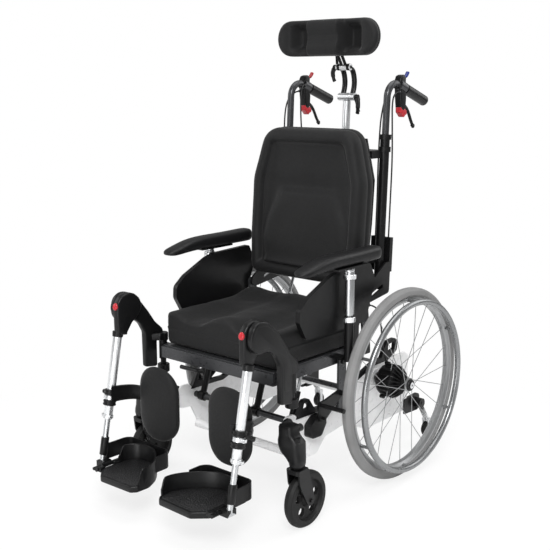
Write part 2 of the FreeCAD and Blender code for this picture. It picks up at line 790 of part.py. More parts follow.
def make_parking_brake():
    pivot_x = "plate_outer + brake_clamp_thick + clear_gap"
    arm = plate("brake_arm", pivot_x, 7,
                [("brake_back - 12", "brake_height - 12"), ("brake_back + 14", "brake_height - 10"),
                 ("brake_back + 96", "brake_height + 48"), ("brake_back + 88", "brake_height + 68"),
                 ("brake_bar_back + 20", "brake_bar_height + 10"), ("brake_bar_back - 12",
                                                                    "brake_bar_height + 8")],
                [10, 10, 9, 9, 12, 10],
                [(("brake_back", "brake_height"), 5.1)])
    bar = rod("brake_bar", "brake_bar_radius", "wheel_offset - plate_outer - 10",
              at(pivot_x, "brake_bar_back", "brake_bar_height"))
    grip = rod("brake_grip", 8, 30, at(pivot_x, "brake_back + 88", "brake_height + 56"))
    left_and_right("parking_brake", fuse("parking_brake_lever", arm, bar, grip))


# Seat

def make_seat():
    rail = block("rail_solid", at("seat_half - rail_width", "seat_front + 16", "rail_low"),
                 "rail_width", "seat_rear - seat_front - 16", "rail_height")
    front = block("front_rail", at("-seat_half", "seat_front", "rail_low"), "seat_half * 2", 16,
                  "rail_height")
    rear = block("rear_rail", at("-seat_half", "seat_rear - 24", "rail_low"), "seat_half * 2", 24,
                 "rail_height - 6")
    pan = slab("pan_sheet", "rail_top", "pan_thick",
               [("-seat_half + 2", "seat_front + 6"), ("seat_half - 2", "seat_front + 6"),
                ("seat_half - 2", "seat_rear"), ("-seat_half + 2", "seat_rear")], 6)
    strut_bar = rod("strut_bar", "strut_bar_radius", "seat_half * 2 - rail_width",
                    at("rail_width / 2 - seat_half", "strut_top_back", "strut_top_height"))
    recline_bar = rod("recline_bar", "recline_bar_radius", "recline_strut_offset * 2 + 40",
                      at("-recline_strut_offset - 20", "recline_strut_back", "recline_strut_height"))
    ears = [block("recline_ear_%d" % i, at(x, "seat_rear - 2", "recline_strut_height - 9"), 6,
                  "recline_strut_back - seat_rear + 10", 18)
            for i, x in enumerate(("-recline_strut_offset - 20", "16 - recline_strut_offset", 0,
                                   "recline_strut_offset - 22", "recline_strut_offset + 14"))]
    receiver = ring("receiver", "receiver_radius", "hanger_pin_radius + running_gap",
                    "receiver_top - receiver_low",
                    at("hanger_offset", "hanger_back", "receiver_low"), UP)
    lug = cut("receiver_lug", block("receiver_lug_solid", at("seat_half - 5", "hanger_back - 12",
                                                             "rail_low + 2"),
                                    "hanger_offset - seat_half + 5", 24, 30),
              rod("receiver_lug_bore", "hanger_pin_radius + running_gap", 60,
                  at("hanger_offset", "hanger_back", "rail_low - 5"), UP))
    sleeve = ring("arm_sleeve", "arm_sleeve_radius", "arm_post_radius + clear_gap",
                  "arm_sleeve_top - arm_sleeve_low", at("arm_post_offset", "arm_post_back",
                                                        "arm_sleeve_low"), UP)
    arm_lug = block("arm_lug", at("seat_half - 5", "arm_post_back - 15", "arm_sleeve_low + 2"),
                    "arm_post_offset - seat_half - 8", 30, 8)
    tilt_pin = rod("tilt_pin", "tilt_pin_radius", "tower_offset + tower_thick + 5 - seat_half",
                   at("seat_half", "tilt_back", "tilt_height"))
    upright = plate("recline_upright", "seat_half", "recline_plate_inner + recline_plate_thick - seat_half",
                    [("seat_rear - 30", "rail_low"), ("seat_rear", "rail_low"),
                     ("seat_rear - 4", "rail_top + 30"), ("recline_back + 16", "recline_height + 14"),
                     ("recline_back - 16", "recline_height + 14"), ("recline_back - 14",
                                                                    "recline_height - 30")],
                    [4, 4, 20, 13, 13, 30],
                    [(("recline_back", "recline_height"), "recline_pin_radius + running_gap")])
    ferrule = rod("cable_ferrule", "cable_radius + 2.5", 13, ferrule_place() - CABLE_WAY * 2, CABLE_WAY)
    ferrule_bore = rod("ferrule_bore", "cable_radius + clear_gap", 20, ferrule_place() + CABLE_WAY * 4,
                       CABLE_WAY)
    side = cut("seat_side", fuse("seat_side_solid", rail, receiver, lug, sleeve, arm_lug, tilt_pin,
                                 upright, ferrule),
               ferrule_bore)
    frame = fuse("seat_frame", side, mirror("seat_side_right", side), front, rear, pan, strut_bar,
                 recline_bar,
                 *ears)
    subpart("seat_frame", frame)
    subpart("seat_cushion", make_seat_cushion())

    guard = plate("guard_panel", "guard_inner", "guard_thick",
                  [(-400, 516), (-432, 570), (-430, 606), (-392, 636), (-294, 681), (-259, 690),
                   (-92, 696), (-64, 640), (-112, 516)],
                  [16, 20, 20, 30, 30, 20, 12, 30, 20])
    lug = block("guard_lug", at("seat_half", "arm_post_back + 74", "rail_low + 8"),
                "guard_inner + guard_thick - seat_half - 6", 24, 8)
    stay = block("guard_stay", at("guard_inner + 4", "arm_post_back + 74", "rail_low + 8"), 6, 24, 122)
    both_sides("side_guards", fuse("side_guard", guard, lug, stay))


def make_seat_cushion():
    """Crowned cushion: a front and a rear section, with two thigh troughs between raised edges."""
    low = num("pan_top") + num("clear_gap")
    half = num("cushion_half")
    sections = []
    steps = ((0.0, 6, -8), (0.03, 2, 0), (0.5, 0, 2), (0.8, 1, 4), (1.0, 6, 0))
    for share, draw_in, lift in steps:
        y = num("cushion_front") + (num("cushion_rear") - num("cushion_front")) * share
        top = low + num("cushion_front_height")
        top = top + (num("cushion_rear_height") - num("cushion_front_height")) * share + lift
        edge = half - draw_in
        trough = 9 if share < 0.9 else 4
        upper = [(-edge, top - 14), (-edge + 16, top), (-edge * 0.5, top - trough), (0, top - 1),
                 (edge * 0.5, top - trough), (edge - 16, top), (edge, top - 14)]
        points = [at(x, y, z) for x, z in upper]
        corner_a = at(edge, y, low)
        corner_b = at(-edge, y, low)
        curve = Part.BSplineCurve()
        curve.interpolate(points)
        edges = [curve.toShape(), Part.makeLine(points[-1], corner_a), Part.makeLine(corner_a, corner_b),
                 Part.makeLine(corner_b, points[0])]
        sections.append(Part.Wire(edges))
    return loft("seat_cushion", sections)


# Struts

def make_strut(name, low, top, offset, cylinder_length, eye_low, eye_top, rod_start):
    """A gas strut's cylinder on its lower bar and its rod up to the upper bar."""
    axis = (top - low).normalize()
    start = low + ALONG_X * num(offset)
    finish = top + ALONG_X * num(offset)
    radius = num("strut_radius")
    width = radius * 2 + 2
    across = ALONG_X * (width / 2)
    bore_start = start + axis * (radius * 2)
    body = rod(name + "_body", "strut_radius", cylinder_length, start, axis)
    eye = rod(name + "_eye", eye_low + 5, width, start - across)
    cylinder = cut(name + "_cylinder", fuse(name + "_cylinder_solid", body, eye),
                   rod(name + "_low_bore", eye_low + num("running_gap"), width + 2, start - across - ALONG_X),
                   rod(name + "_rod_bore", "strut_rod_radius + running_gap", cylinder_length, bore_start,
                       axis))
    stem = rod_between(name + "_stem", "strut_rod_radius", bore_start + axis * rod_start, finish)
    top_eye = rod(name + "_top_eye", eye_top + 5, width, finish - across)
    piston = cut(name + "_rod", fuse(name + "_rod_solid", stem, top_eye),
                 rod(name + "_top_bore", eye_top, width + 2, finish - across - ALONG_X))
    return cylinder, piston


def make_struts():
    low = at(0, "strut_low_back", "strut_low_height")
    top = at(0, "strut_top_back", "strut_top_height")
    length = num("strut_length")
    bar = num("strut_bar_radius")
    slack = num("open_pivot_gap")
    side = make_strut("tilt_strut", low, top, "strut_offset", length * 0.6, bar + 2, bar + slack, 2)
    middle = make_strut("middle_strut", low, top, "strut_middle_offset", length * 0.6, bar + 2,
                        bar + slack, 2)
    for number, name in enumerate(("tilt_strut_cylinders", "tilt_strut_rods")):
        subpart(name, together(name, side[number], mirror(name + "_right", side[number]), middle[number]))
    low = at(0, "recline_strut_back", "recline_strut_height")
    top = at(0, cane_line("recline_top_height"), "recline_top_height")
    gap = (top - low).Length
    bar = num("recline_bar_radius")
    pair = make_strut("recline_strut", low, top, "recline_strut_offset", gap * 0.56, bar, bar + slack,
                      num("recline_stroke") + 3)
    for number, name in enumerate(("recline_strut_cylinders", "recline_strut_rods")):
        both_sides(name, pair[number])


# Back

def cane_line(height):
    """Distance behind the axle of the cane's straight part, at a height."""
    return "cane_low_back + ((%s) - cane_low_height) * tan(cane_lean)" % height


def cable_point(side, height):
    """A point on a cable's straight run into its box, behind the cane."""
    return at("cane_offset + " + side, cane_line(height) + " + cable_depth", height)


def cane_direction():
    lean = math.radians(num("cane_lean"))
    return V(0, math.sin(lean), math.cos(lean))


def make_back():
    lean = cane_direction()
    start = at("cane_offset", cane_line("column_low"), "column_low")
    length = num("column_top - column_low") / lean.z
    column = ring("column", "column_radius", "cane_radius + clear_gap", length, start, lean)
    sides = [column]
    for i, height in enumerate(("column_top - 40", "column_top - 2")):
        place = at("cane_offset", cane_line(height), height)
        sides.append(ring("column_clamp_%d" % i, "column_radius + 4", "cane_radius + clear_gap", 16, place,
                          lean))
    bracket = plate("recline_bracket", "recline_plate_inner - clear_gap - 8", 7,
                    [("recline_back - 14", "recline_height - 14"),
                     ("recline_back + 20", "recline_height - 16"),
                     ("cane_low_back + 12", "column_low - 10"), ("cane_low_back + 16", "column_low + 90"),
                     ("cane_low_back - 8", "column_low + 90"), ("recline_back - 6", "recline_height + 17")],
                    [13, 8, 12, 8, 8, 13])
    slot = plate("bracket_slot", "recline_plate_inner - 12", 12,
                 [("recline_back + 50", "recline_height + 2"), ("recline_back + 112", "recline_height + 24"),
                  ("recline_back + 110", "recline_height + 36"), ("recline_back + 50",
                                                                  "recline_height + 14")], 4)
    pin = rod("recline_pin", "recline_pin_radius", "recline_plate_thick + 12",
              at("recline_plate_inner - clear_gap - 7", "recline_back", "recline_height"))
    tie_bar = block("bracket_foot", at("cane_offset + 8", "cane_low_back - 8", "column_low + 20"),
                    "recline_plate_inner - clear_gap - 8 - cane_offset - 4", 16, 40)
    bore = rod("column_bore", "cane_radius + clear_gap", length, start, lean)
    sides.append(cut("back_bracket", fuse("bracket_solid", bracket, pin, tie_bar), slot, bore))
    box_place = at("cane_offset + cable_inner - 12", cane_line("cable_box_low") + " + column_radius",
                   "cable_box_low")
    cable_box = block("cable_box", box_place, "cable_outer - cable_inner + 24",
                      "cable_depth - column_radius + 9",
                      "cable_box_height", "cane_lean")
    wells = [rod("cable_well_%d" % i, "cable_radius + clear_gap", "cable_box_height",
                 cable_point(x, "cable_box_low + 8"), lean) for i, x in enumerate(("cable_outer",
                                                                                   "cable_inner"))]
    sides.append(cut("cable_box_open", cable_box, bore, *wells))
    side = fuse("back_side", *sides)
    top = at(0, cane_line("recline_top_height"), "recline_top_height")
    bar = rod("recline_top_bar", "recline_bar_radius", "(cane_offset - column_radius + 2) * 2",
              top - ALONG_X * num("cane_offset - column_radius + 2"))
    shell = make_shell()
    stays = []
    for i, height in enumerate(("back_low + 60", "back_top - 90")):
        face = num("back_thick + shell_thick - 1") + back_face(num(height) + 13)
        depth = num(cane_line(height)) - face
        stays.append(block("back_stay_%d" % i, at("-cane_offset", face, height), "cane_offset * 2", depth,
                           24))
    holder = ring("post_holder", "post_radius + 7", "post_radius + clear_gap", 60,
                  at(0, post_line("post_low + 90"), "post_low + 90"), lean)
    web_face = num("back_thick + shell_thick - 1") + back_face(num("post_low + 142"))
    web_depth = num(post_line("post_low + 96")) - web_face
    web = cut("holder_web", block("holder_web_solid", at(-16, web_face, "post_low + 96"), 32, web_depth, 46),
              rod("holder_bore", "post_radius + clear_gap", 200,
                  at(0, post_line("post_low + 20"), "post_low + 20"), lean))
    sides_of_frame = bore, mirror("column_bore_right", bore)
    frame = cut("back_frame", fuse("back_stays", *stays), *sides_of_frame)
    side_right = mirror("back_side_right", side)
    subpart("back_shell", fuse("back_shell", side, side_right, bar, shell, holder, web, frame))
    subpart("back_cushion", make_back_cushion())


def post_line(height):
    return "post_back + ((%s) - neck_low_height) * tan(cane_lean)" % height


def back_profile(height):
    """Half the back's width at a height: full in the middle, narrower at both ends."""
    share = (height - num("back_low")) / (num("back_top") - num("back_low"))
    widest = num("back_half")
    if share < 0.4:
        return widest - 8 * (1 - share / 0.4)
    if share < 0.68:
        return widest
    return widest - (widest - num("back_top_half")) * (share - 0.68) / 0.32


def back_face(height):
    """Distance behind the axle of the back's front face, at a height."""
    share = (height - num("back_low")) / num("back_top - back_low")
    return num("back_face_low") + num("back_face_top - back_face_low") * share


def back_wire(front_gap, rear_gap, share, inset):
    """One level section of the back, with rounded ends."""
    height = num("back_low") + (num("back_top") - num("back_low")) * share
    face = back_face(height)
    half = back_profile(height) - inset
    points = [at(-half, face + front_gap, height), at(half, face + front_gap, height),
              at(half, face + rear_gap, height), at(-half, face + rear_gap, height)]
    return rounded_wire(points, min(rear_gap - front_gap, 40) * 0.45)


def make_shell():
    """Thin rear shell behind the cushion."""
    rear = num("back_thick") + 0.5
    shares = (0.02, 0.4, 0.68, 0.94)
    return loft("rear_shell", [back_wire(rear, rear + num("shell_thick"), share, 6) for share in shares])


def make_back_cushion():
    """Crowned back cushion: ends drawn in, sides following the shell's outline."""
    thick = num("back_thick")
    steps = ((0.0, 12, 30), (0.03, 4, 12), (0.2, 0, 2), (0.4, 0, 0), (0.68, 0, 0), (0.9, 0, 3), (0.97, 5, 10),
             (1.0, 13, 30))
    return loft("back_cushion", [back_wire(squeeze, thick - squeeze / 3, share, inset)
                                 for share, squeeze, inset in steps])


# Push handles

def make_handles():
    lean = cane_direction()
    slope = math.radians(num("handle_slope"))
    rearward = V(0, math.cos(slope), -math.sin(slope))
    low = at("cane_offset", cane_line("column_low + 20"), "column_low + 20")
    corner = at("cane_offset", cane_line("handle_top"), "handle_top")
    end_y = num("handle_end_back") + num("axle_back")
    end = corner + rearward * ((end_y - corner.y) / rearward.y)
    cane, _ = tube_along("cane", [low, corner, end], "cane_radius", [num("handle_bend")])
    grip_start = end - rearward * num("grip_length")
    grip = rod("grip", "grip_radius", "grip_length + 2", grip_start, rearward)
    housing = rod("lever_housing", "grip_radius + 1", 34, grip_start - rearward * 42, rearward)
    pivot = handle_pivot()
    ears = [block("lever_ear_%d" % i, pivot + V(x, -9, -9), 4, 18, 28) for i, x in enumerate((-9.5, 5.5))]
    pin = rod("lever_pin", 3, 19, pivot - ALONG_X * 9.5)
    trigger = trigger_pivot()
    ears = ears + [block("trigger_ear_%d" % i, trigger + V(x, -6, -16), 3, 12, 21) for i,
                   x in enumerate((-6.4, 3.4))]
    trigger_pin = rod("trigger_pin", 2, 12.8, trigger - ALONG_X * 6.4)
    ends = [rod("cable_end_%d" % i, 4, 12, start, V(0, -1, 0)) for i, start in enumerate(cable_starts())]
    left_and_right("push_handle", fuse("push_handle", cane, grip, housing, *ears, pin, trigger_pin, *ends))

    lever, _ = tube_along("lever_blade", [pivot + V(0, 8, -6), pivot + V(0, 30, -34), pivot + V(0, 46, -88)],
                          5, [30])
    eye = rod("lever_eye", 8, 8, pivot - ALONG_X * 4)
    arm = rod_between("lever_arm", 5, pivot, pivot + V(0, 8, -6))
    brake = cut("brake_lever_body", fuse("brake_lever_solid", lever, arm, eye),
                rod("lever_bore", 3.1, 20, pivot - ALONG_X * 10))
    left_and_right("brake_lever", brake)

    boss = rod("trigger_boss", 5, 6, trigger - ALONG_X * 3)
    blade = rod_between("trigger_blade", 2.6, trigger + V(0, 3.4, 1.1), trigger + V(0, 49, 16))
    trigger_lever = cut("release_lever_body", fuse("release_lever_solid", boss, blade),
                        rod("trigger_bore", 2.1, 20, trigger - ALONG_X * 10))
    left_and_right("release_lever", trigger_lever)


def handle_pivot():
    """Centre of the brake lever's pin, under the housing."""
    return at("cane_offset", "handle_end_back - 142", "handle_top - 51")


def trigger_pivot():
    """Centre of the release lever's pin, on top of the housing."""
    return at("cane_offset", "handle_end_back - 134", "handle_top + 3")


def cable_starts():
    """Where the brake cable and the release cable leave the handle."""
    return handle_pivot() + V(8, -5, 8), at("cane_offset - 14", "handle_end_back - 144", "handle_top - 22")


# The way the drum's cable comes out of its ferrule on the seat frame
CABLE_WAY = V(0.83, 0.55, -0.06)


def ferrule_place():
    """Where the drum's cable goes into the seat frame, beside the recline pivot."""
    return at("recline_plate_inner + recline_plate_thick", "recline_back + 12", "recline_height - 14")


def make_cables():
    """Two cables from each handle down behind the back, and one from the seat to each drum."""
    print("cable radii:")
    outer = num("cane_offset")
    lift = V(0, num("axle_back"), 0)
    brake_start, release_start = [start - lift - ALONG_Y * 12.5 for start in cable_starts()]
    first = [brake_start, V(outer + 10, 96, 1201), V(outer + 19, 70, 1172), V(outer + 25, 64, 1110),
             V(outer + 26, 68, 1000)]
    second = [release_start, V(outer - 17, 102, 1222), V(outer - 30, 84, 1140), V(outer - 36, 84, 1060),
              V(outer - 36, 80, 960)]
    for route, side in ((first, "cable_outer"), (second, "cable_inner")):
        for height in ("cable_box_low + cable_box_height + 120", "cable_box_low + 10"):
            route.append(cable_point(side, height) - lift)
    cords = []
    for number, route in enumerate((first, second)):
        cord, radii = tube_along("handle_cable_%d" % number, [at(p.x, p.y, p.z) for p in route],
                                 "cable_radius")
        print("  handle", number, [round(radius) for radius in radii])
        cords.append(cord)
    left_and_right("handle_cables", together("handle_cables_body", *cords))
    route = [V(252.5, 11.4, 361), V(256, -3, 393), V(262, -26, 426), V(262, -36, 500),
             ferrule_place() - lift + CABLE_WAY * 34,
             ferrule_place() - lift + CABLE_WAY * 5]
    cord, radii = tube_along("drum_cable", [at(p.x, p.y, p.z) for p in route], "cable_radius")
    print("  drum", [round(radius) for radius in radii])
    both_sides("drum_cables", cord)


# Headrest

def make_headrest():
    lean = cane_direction()
    start = at(0, post_line("post_low"), "post_low")
    post = rod("post_tube", "post_radius", (num("post_top") - num("post_low")) / lean.z, start, lean)
    joint = at(0, "post_back", "neck_low_height")
    knuckle = rod("post_knuckle", 13, 30, joint - ALONG_X * 15)
    pin = rod("post_pin", 6, 64, joint - ALONG_X * 32)
    handle = rod_between("post_lever", 4.5, joint + V(32, 0, 0), joint + V(44, 6, -48))
    subpart("headrest_post", fuse("headrest_post_body", post, knuckle, pin, handle))

    upper = at(0, "neck_top_back", "neck_top_height")
    links = []
    for i, x in enumerate((-24, 16)):
        place = V(x, 0, 0)
        eyes = [rod("link_low_eye_%d" % i, 12, 8, joint + place),
                rod("link_top_eye_%d" % i, 10, 8, upper + place)]
        bow, _ = tube_along("link_bow_%d" % i,
                            [joint + place + V(4, 0, 8), joint + place + V(4, -24, 30),
                             joint + place + V(4, -30, 70), upper + place + V(4, 0, -6)], 5, [24])
        links.append(cut("link_%d" % i, fuse("link_solid_%d" % i, bow, *eyes),
                         rod("link_bore_%d" % i, 6.1, 20, joint + place - ALONG_X * 2),
                         rod("link_top_bore_%d" % i, 5.1, 20, upper + place - ALONG_X * 2)))
    subpart("headrest_link", together("headrest_link_body", *links))

    barrel = rod("bracket_barrel", 10, 30, upper - ALONG_X * 15)
    pin = rod("bracket_pin", 5, 56, upper - ALONG_X * 28)
    lever = rod_between("bracket_lever", 4.5, upper + V(-28, 0, 0), upper + V(-38, 8, 44))
    rear = num("head_back") + num("head_thick") / 2
    arms = []
    for i, x in enumerate((-8, 8)):
        low = upper + V(x, 0, 0)
        arms.append(rod_between("bracket_arm_%d" % i, 5, low, at(x, rear + 12, "head_low + 40")))
    spread = block("bracket_plate", at(-66, rear + 0.3, "head_low + 28"), 132, 7, 56)
    subpart("headrest_bracket", fuse("headrest_bracket_body", barrel, pin, lever, *arms, spread))

    pads = []
    middle = []
    for share, squeeze in ((0, 16), (0.14, 4), (0.5, 0), (0.86, 4), (1, 16)):
        x = -70 + 140 * share
        middle.append(head_section(x, 0, num("head_thick") / 2 - squeeze * 0.2, squeeze * 0.4))
    pads.append(loft("head_middle", middle))
    wing = []
    for share, forward, squeeze in ((0.0, 0, 6), (0.12, 4, 1), (0.5, 18, 0), (0.85, 36, 2), (1.0, 44, 16)):
        x = 70.3 + (num("head_half") - 70.3) * share
        wing.append(head_section(x, -forward, num("head_thick") / 2 - squeeze, squeeze))
    wing = loft("head_wing", wing)
    subpart("headrest_pad", together("headrest_pad_body", *pads, wing, mirror("head_wing_right", wing)))


def head_section(x, forward, half_thick, inset):
    low = num("head_low") + inset
    high = num("head_top") - inset
    y = num("head_back") + forward
    points = [at(x, y - half_thick, low), at(x, y + half_thick, low), at(x, y + half_thick, high),
              at(x, y - half_thick, high)]
    return rounded_wire(points, half_thick * 0.9)


# Armrests

def make_armrests():
    post = rod("arm_tube", "arm_post_radius", "armpad_low - arm_sleeve_low - 30",
               at("arm_post_offset", "arm_post_back", "arm_sleeve_low + 20"), UP)
    top = at("arm_post_offset", "arm_post_back", "armpad_low - 14")
    plate_under = block("armpad_bracket", at("armpad_offset - 16", "arm_post_back - 70", "armpad_low - 6"),
                        "arm_post_offset - armpad_offset + 28", 140, "6 - clear_gap")
    clamp = ring("arm_clamp", "arm_sleeve_radius + 4", "arm_post_radius", 12,
                 at("arm_post_offset", "arm_post_back", "armpad_low - 36"), UP)
    head = rod("arm_head", "arm_sleeve_radius", 10, top, UP)
    left_and_right("arm_post", fuse("arm_post_body", post, plate_under, clamp, head))

    sections = []
    length = num("armpad_rear") - num("armpad_front")
    steps = ((0.0, 0.45, -22, -8), (0.04, 0.72, -12, -4), (0.15, 0.95, 0, 0), (0.5, 1.0, 6, 0),
             (0.85, 0.92, 2, 0),
             (0.97, 0.7, -6, 0), (1.0, 0.45, -14, 0))
    for share, width, lift, drop in steps:
        y = num("armpad_front") + length * share
        half = num("armpad_half_width") * width
        low = num("armpad_low") + drop
        high = num("armpad_low") + num("armpad_thick") + lift
        points = [at(num("armpad_offset") - half, y, low), at(num("armpad_offset") + half, y, low),
                  at(num("armpad_offset") + half, y, high), at(num("armpad_offset") - half, y, high)]
        sections.append(rounded_wire(points, min(high - low, half * 2) * 0.4))
    left_and_right("armpad", loft("armpad_body", sections))


# Legrests

def leg_direction():
    lean = math.radians(num("leg_lean"))
    return V(0, -math.sin(lean), -math.cos(lean))


def leg_point(distance):
    """A point on the leg tube's axis, measured down from its top."""
    return at("leg_offset", "leg_back", "leg_height") + leg_direction() * num(distance)


def make_legrests():
    knee = at(0, "knee_back", "knee_height")
    outline = [("knee_back + 133", "knob_low + 34"), ("knee_back + 146", "receiver_top + knee_rise * 0.045"),
               ("knee_back + 160", "receiver_top + knee_rise * 0.12"),
               ("knee_back + 160", "receiver_top + knee_rise * 0.226"),
               ("knee_back + 128", "receiver_top + knee_rise * 0.474"),
               ("knee_back + 96", "receiver_top + knee_rise * 0.82"),
               ("knee_back + 44", "knee_height + 44"), ("knee_back - 24", "knee_height + 46"),
               ("knee_back - 44", "knee_height - 20"), ("knee_back + 24", "knee_height - 34"),
               ("knee_back + 78", "receiver_top + knee_rise * 0.368"), ("knee_back + 90", "receiver_top"),
               ("knee_back + 84", "knob_low + 34")]
    arm = plate("hanger_arm", "knee_plane + clear_gap", "hanger_thick", outline,
                [10, 6, 6, 14, 40, 40, 30, 20, 20, 20, 30, 20, 10])
    disc = rod("hanger_disc", "knee_radius", "hanger_thick", knee + ALONG_X * num("knee_plane + clear_gap"))
    pin = rod("hanger_pin", "hanger_pin_radius", "receiver_top + 26 - knob_low",
              at("hanger_offset", "hanger_back", "knob_low"), UP)
    knob = rod("hanger_knob", "receiver_radius + 4", "receiver_low - knob_low - clear_gap",
               at("hanger_offset", "hanger_back", "knob_low"), UP)
    collar = rod("hanger_collar", "receiver_radius", 26,
                 at("hanger_offset", "hanger_back", "receiver_top + clear_gap"), UP)
    knee_pin = rod("knee_pin", "hanger_pin_radius", "knee_cover_thick + 6",
                   knee + ALONG_X * num("knee_plane - knee_cover_thick - 5"))
    left_and_right("hanger", fuse("hanger_body", arm, disc, pin, knob, collar, knee_pin))

    inner = "knee_plane - knee_cover_thick"
    cover = rod("knee_cover", "knee_radius - 1", "knee_cover_thick", knee + ALONG_X * num(inner))
    direction = leg_direction()
    neck = plate("knee_neck", inner, "knee_cover_thick",
                 [("leg_back - 9", "leg_height + 69"), ("leg_back + 34", "leg_height + 60"),
                  ("leg_back + 18", "leg_height + 10"), ("leg_back - 13", "leg_height + 16")], [0, 0, 4, 4])
    socket = rod("knee_socket", "leg_radius + 3", 32, leg_point(-26), direction)
    tube = rod("leg_tube_body", "leg_radius", "leg_length", leg_point(0), direction)
    clamp = rod("leg_clamp", "leg_radius + 4", 14, leg_point("leg_length - 8"), direction)
    solid = fuse("leg_tube_solid", cover, neck, socket, tube, clamp)
    leg = cut("leg_tube", solid, rod("leg_bore", "foot_tube_radius + clear_gap", "leg_length + 20",
                                     leg_point(20), direction),
              rod("knee_bore", "hanger_pin_radius + running_gap", 60,
                  knee + ALONG_X * num("knee_plane - knee_cover_thick - 10")),
              make_button_well())
    left_and_right("leg_tube", leg)
    left_and_right("release_button", make_button())

    foot_top = num("leg_length") - num("foot_tube_hidden")
    foot = rod("foot_tube_body", "foot_tube_radius", "foot_tube_length", leg_point(foot_top), direction)
    sleeve = rod("foot_sleeve", "foot_tube_radius + 3", 52,
                 leg_point(foot_top + num("foot_tube_length") - 76), direction)
    end = leg_point(foot_top + num("foot_tube_length"))
    axis_z = num("foot_height - foot_hinge_drop")
    axis_start = V(num("foot_hinge_offset"), end.y - 16, axis_z)
    hinge = fuse("foot_hinge", rod("foot_hinge_barrel", "foot_hinge_drop + 2", 34, axis_start, ALONG_Y),
                 block("foot_hinge_block", axis_start - UP * 8, num("leg_offset - foot_hinge_offset") + 8, 34,
                       end.z - axis_z + 16))
    pin = rod("foot_pin", "foot_hinge_radius", "foot_length - 40",
              at("foot_hinge_offset", "foot_front + 24", axis_z), ALONG_Y)
    left_and_right("foot_tube", fuse("foot_tube_and_heel_loop", foot, sleeve, hinge, pin,
                                     make_heel_loop(end)))
    left_and_right("footplate", make_footplate(end, axis_z))
    left_and_right("calf_pad", make_calf())


def button_place():
    """The release button's seat on the front of the knee cover."""
    knee = at("knee_plane - knee_cover_thick / 2", "knee_back", "knee_height")
    outward = V(0, -math.cos(math.radians(12)), math.sin(math.radians(12)))
    return knee + outward * (num("knee_radius") - 12), outward


def make_button_well():
    place, outward = button_place()
    return rod("button_well", 9, 30, place, outward)


def make_button():
    place, outward = button_place()
    stem = rod("button_stem", 8.6, 17, place + outward * 5, outward)
    return stem


def make_heel_loop(end):
    """Band behind the heel, from the tube's sleeve round to the inner side."""
    low = num("foot_height") + 1
    thick = num("heel_thick")
    inner_x = num("foot_inner") - 3 - thick
    outer_x = num("leg_offset")
    rear = num("foot_front + foot_length") + 7
    path = [at(inner_x, rear - 62, low), at(inner_x, rear + thick, low),
            at(outer_x - 3, rear + thick, low), V(outer_x, end.y + 14, low)]
    band = []
    for shift in (0, thick):
        points = [path[0] + V(shift, 0, 0), path[1] + V(shift, -shift, 0), path[2] - V(shift, shift, 0),
                  path[3] - V(shift, 0, 0)]
        band.append(smooth_path(points, [60 - shift, 26 - shift])[0])
    ends = [Part.makeLine(band[0].Vertexes[0].Point, band[1].Vertexes[0].Point),
            Part.makeLine(band[0].Vertexes[-1].Point, band[1].Vertexes[-1].Point)]
    face = Part.Face(Part.Wire(band[0].Edges + [ends[1]] + band[1].Edges[::-1] + [ends[0]]))
    item = doc.addObject("Part::Feature", "heel_loop")
    item.Shape = face.extrude(V(0, 0, num("heel_height")))
    return item


def make_footplate(end, axis_z):
    low = "foot_height - foot_thick"
    rear = "foot_front + foot_length"
    tray = slab("footplate_tray", low, "foot_thick",
                [("foot_inner", "foot_front + 36"), ("foot_inner + 44", "foot_front"),
                 ("foot_outer - 30", "foot_front"),
                 ("foot_outer", "foot_front + 30"), ("foot_outer", rear), ("foot_inner", rear)],
                [14, 16, 16, 12, 24, 24])
    recess = slab("footplate_recess", "foot_height - 6", 20,
                  [("foot_inner + 8", "foot_front + 42"), ("foot_inner + 48", "foot_front + 10"),
                   ("foot_outer - 34", "foot_front + 10"), ("foot_outer - 9", "foot_front + 36"),
                   ("foot_outer - 9", "foot_front + foot_length - 8"), ("foot_inner + 8",
                                                                        "foot_front + foot_length - 8")],
                  [10, 12, 12, 8, 18, 18])
    lugs = []
    for i, y in enumerate(("foot_front + 26", "foot_front + foot_length - 72")):
        lugs.append(block("footplate_lug_%d" % i, at("foot_outer - 8", y, axis_z - 9),
                          "foot_hinge_offset - foot_outer + 8", 20, 14))
        lugs.append(rod("footplate_knuckle_%d" % i, 9, 20, at("foot_hinge_offset", y, axis_z), ALONG_Y))
    gap = block("hinge_gap", V(num("foot_hinge_offset") - 14, end.y - 17, axis_z - 40), 45, 36, 80)
    bore = rod("hinge_bore", "foot_hinge_radius + running_gap", "foot_length",
               at("foot_hinge_offset", "foot_front", axis_z), ALONG_Y)
    return cut("footplate_body", fuse("footplate_solid", tray, *lugs), recess, gap, bore)


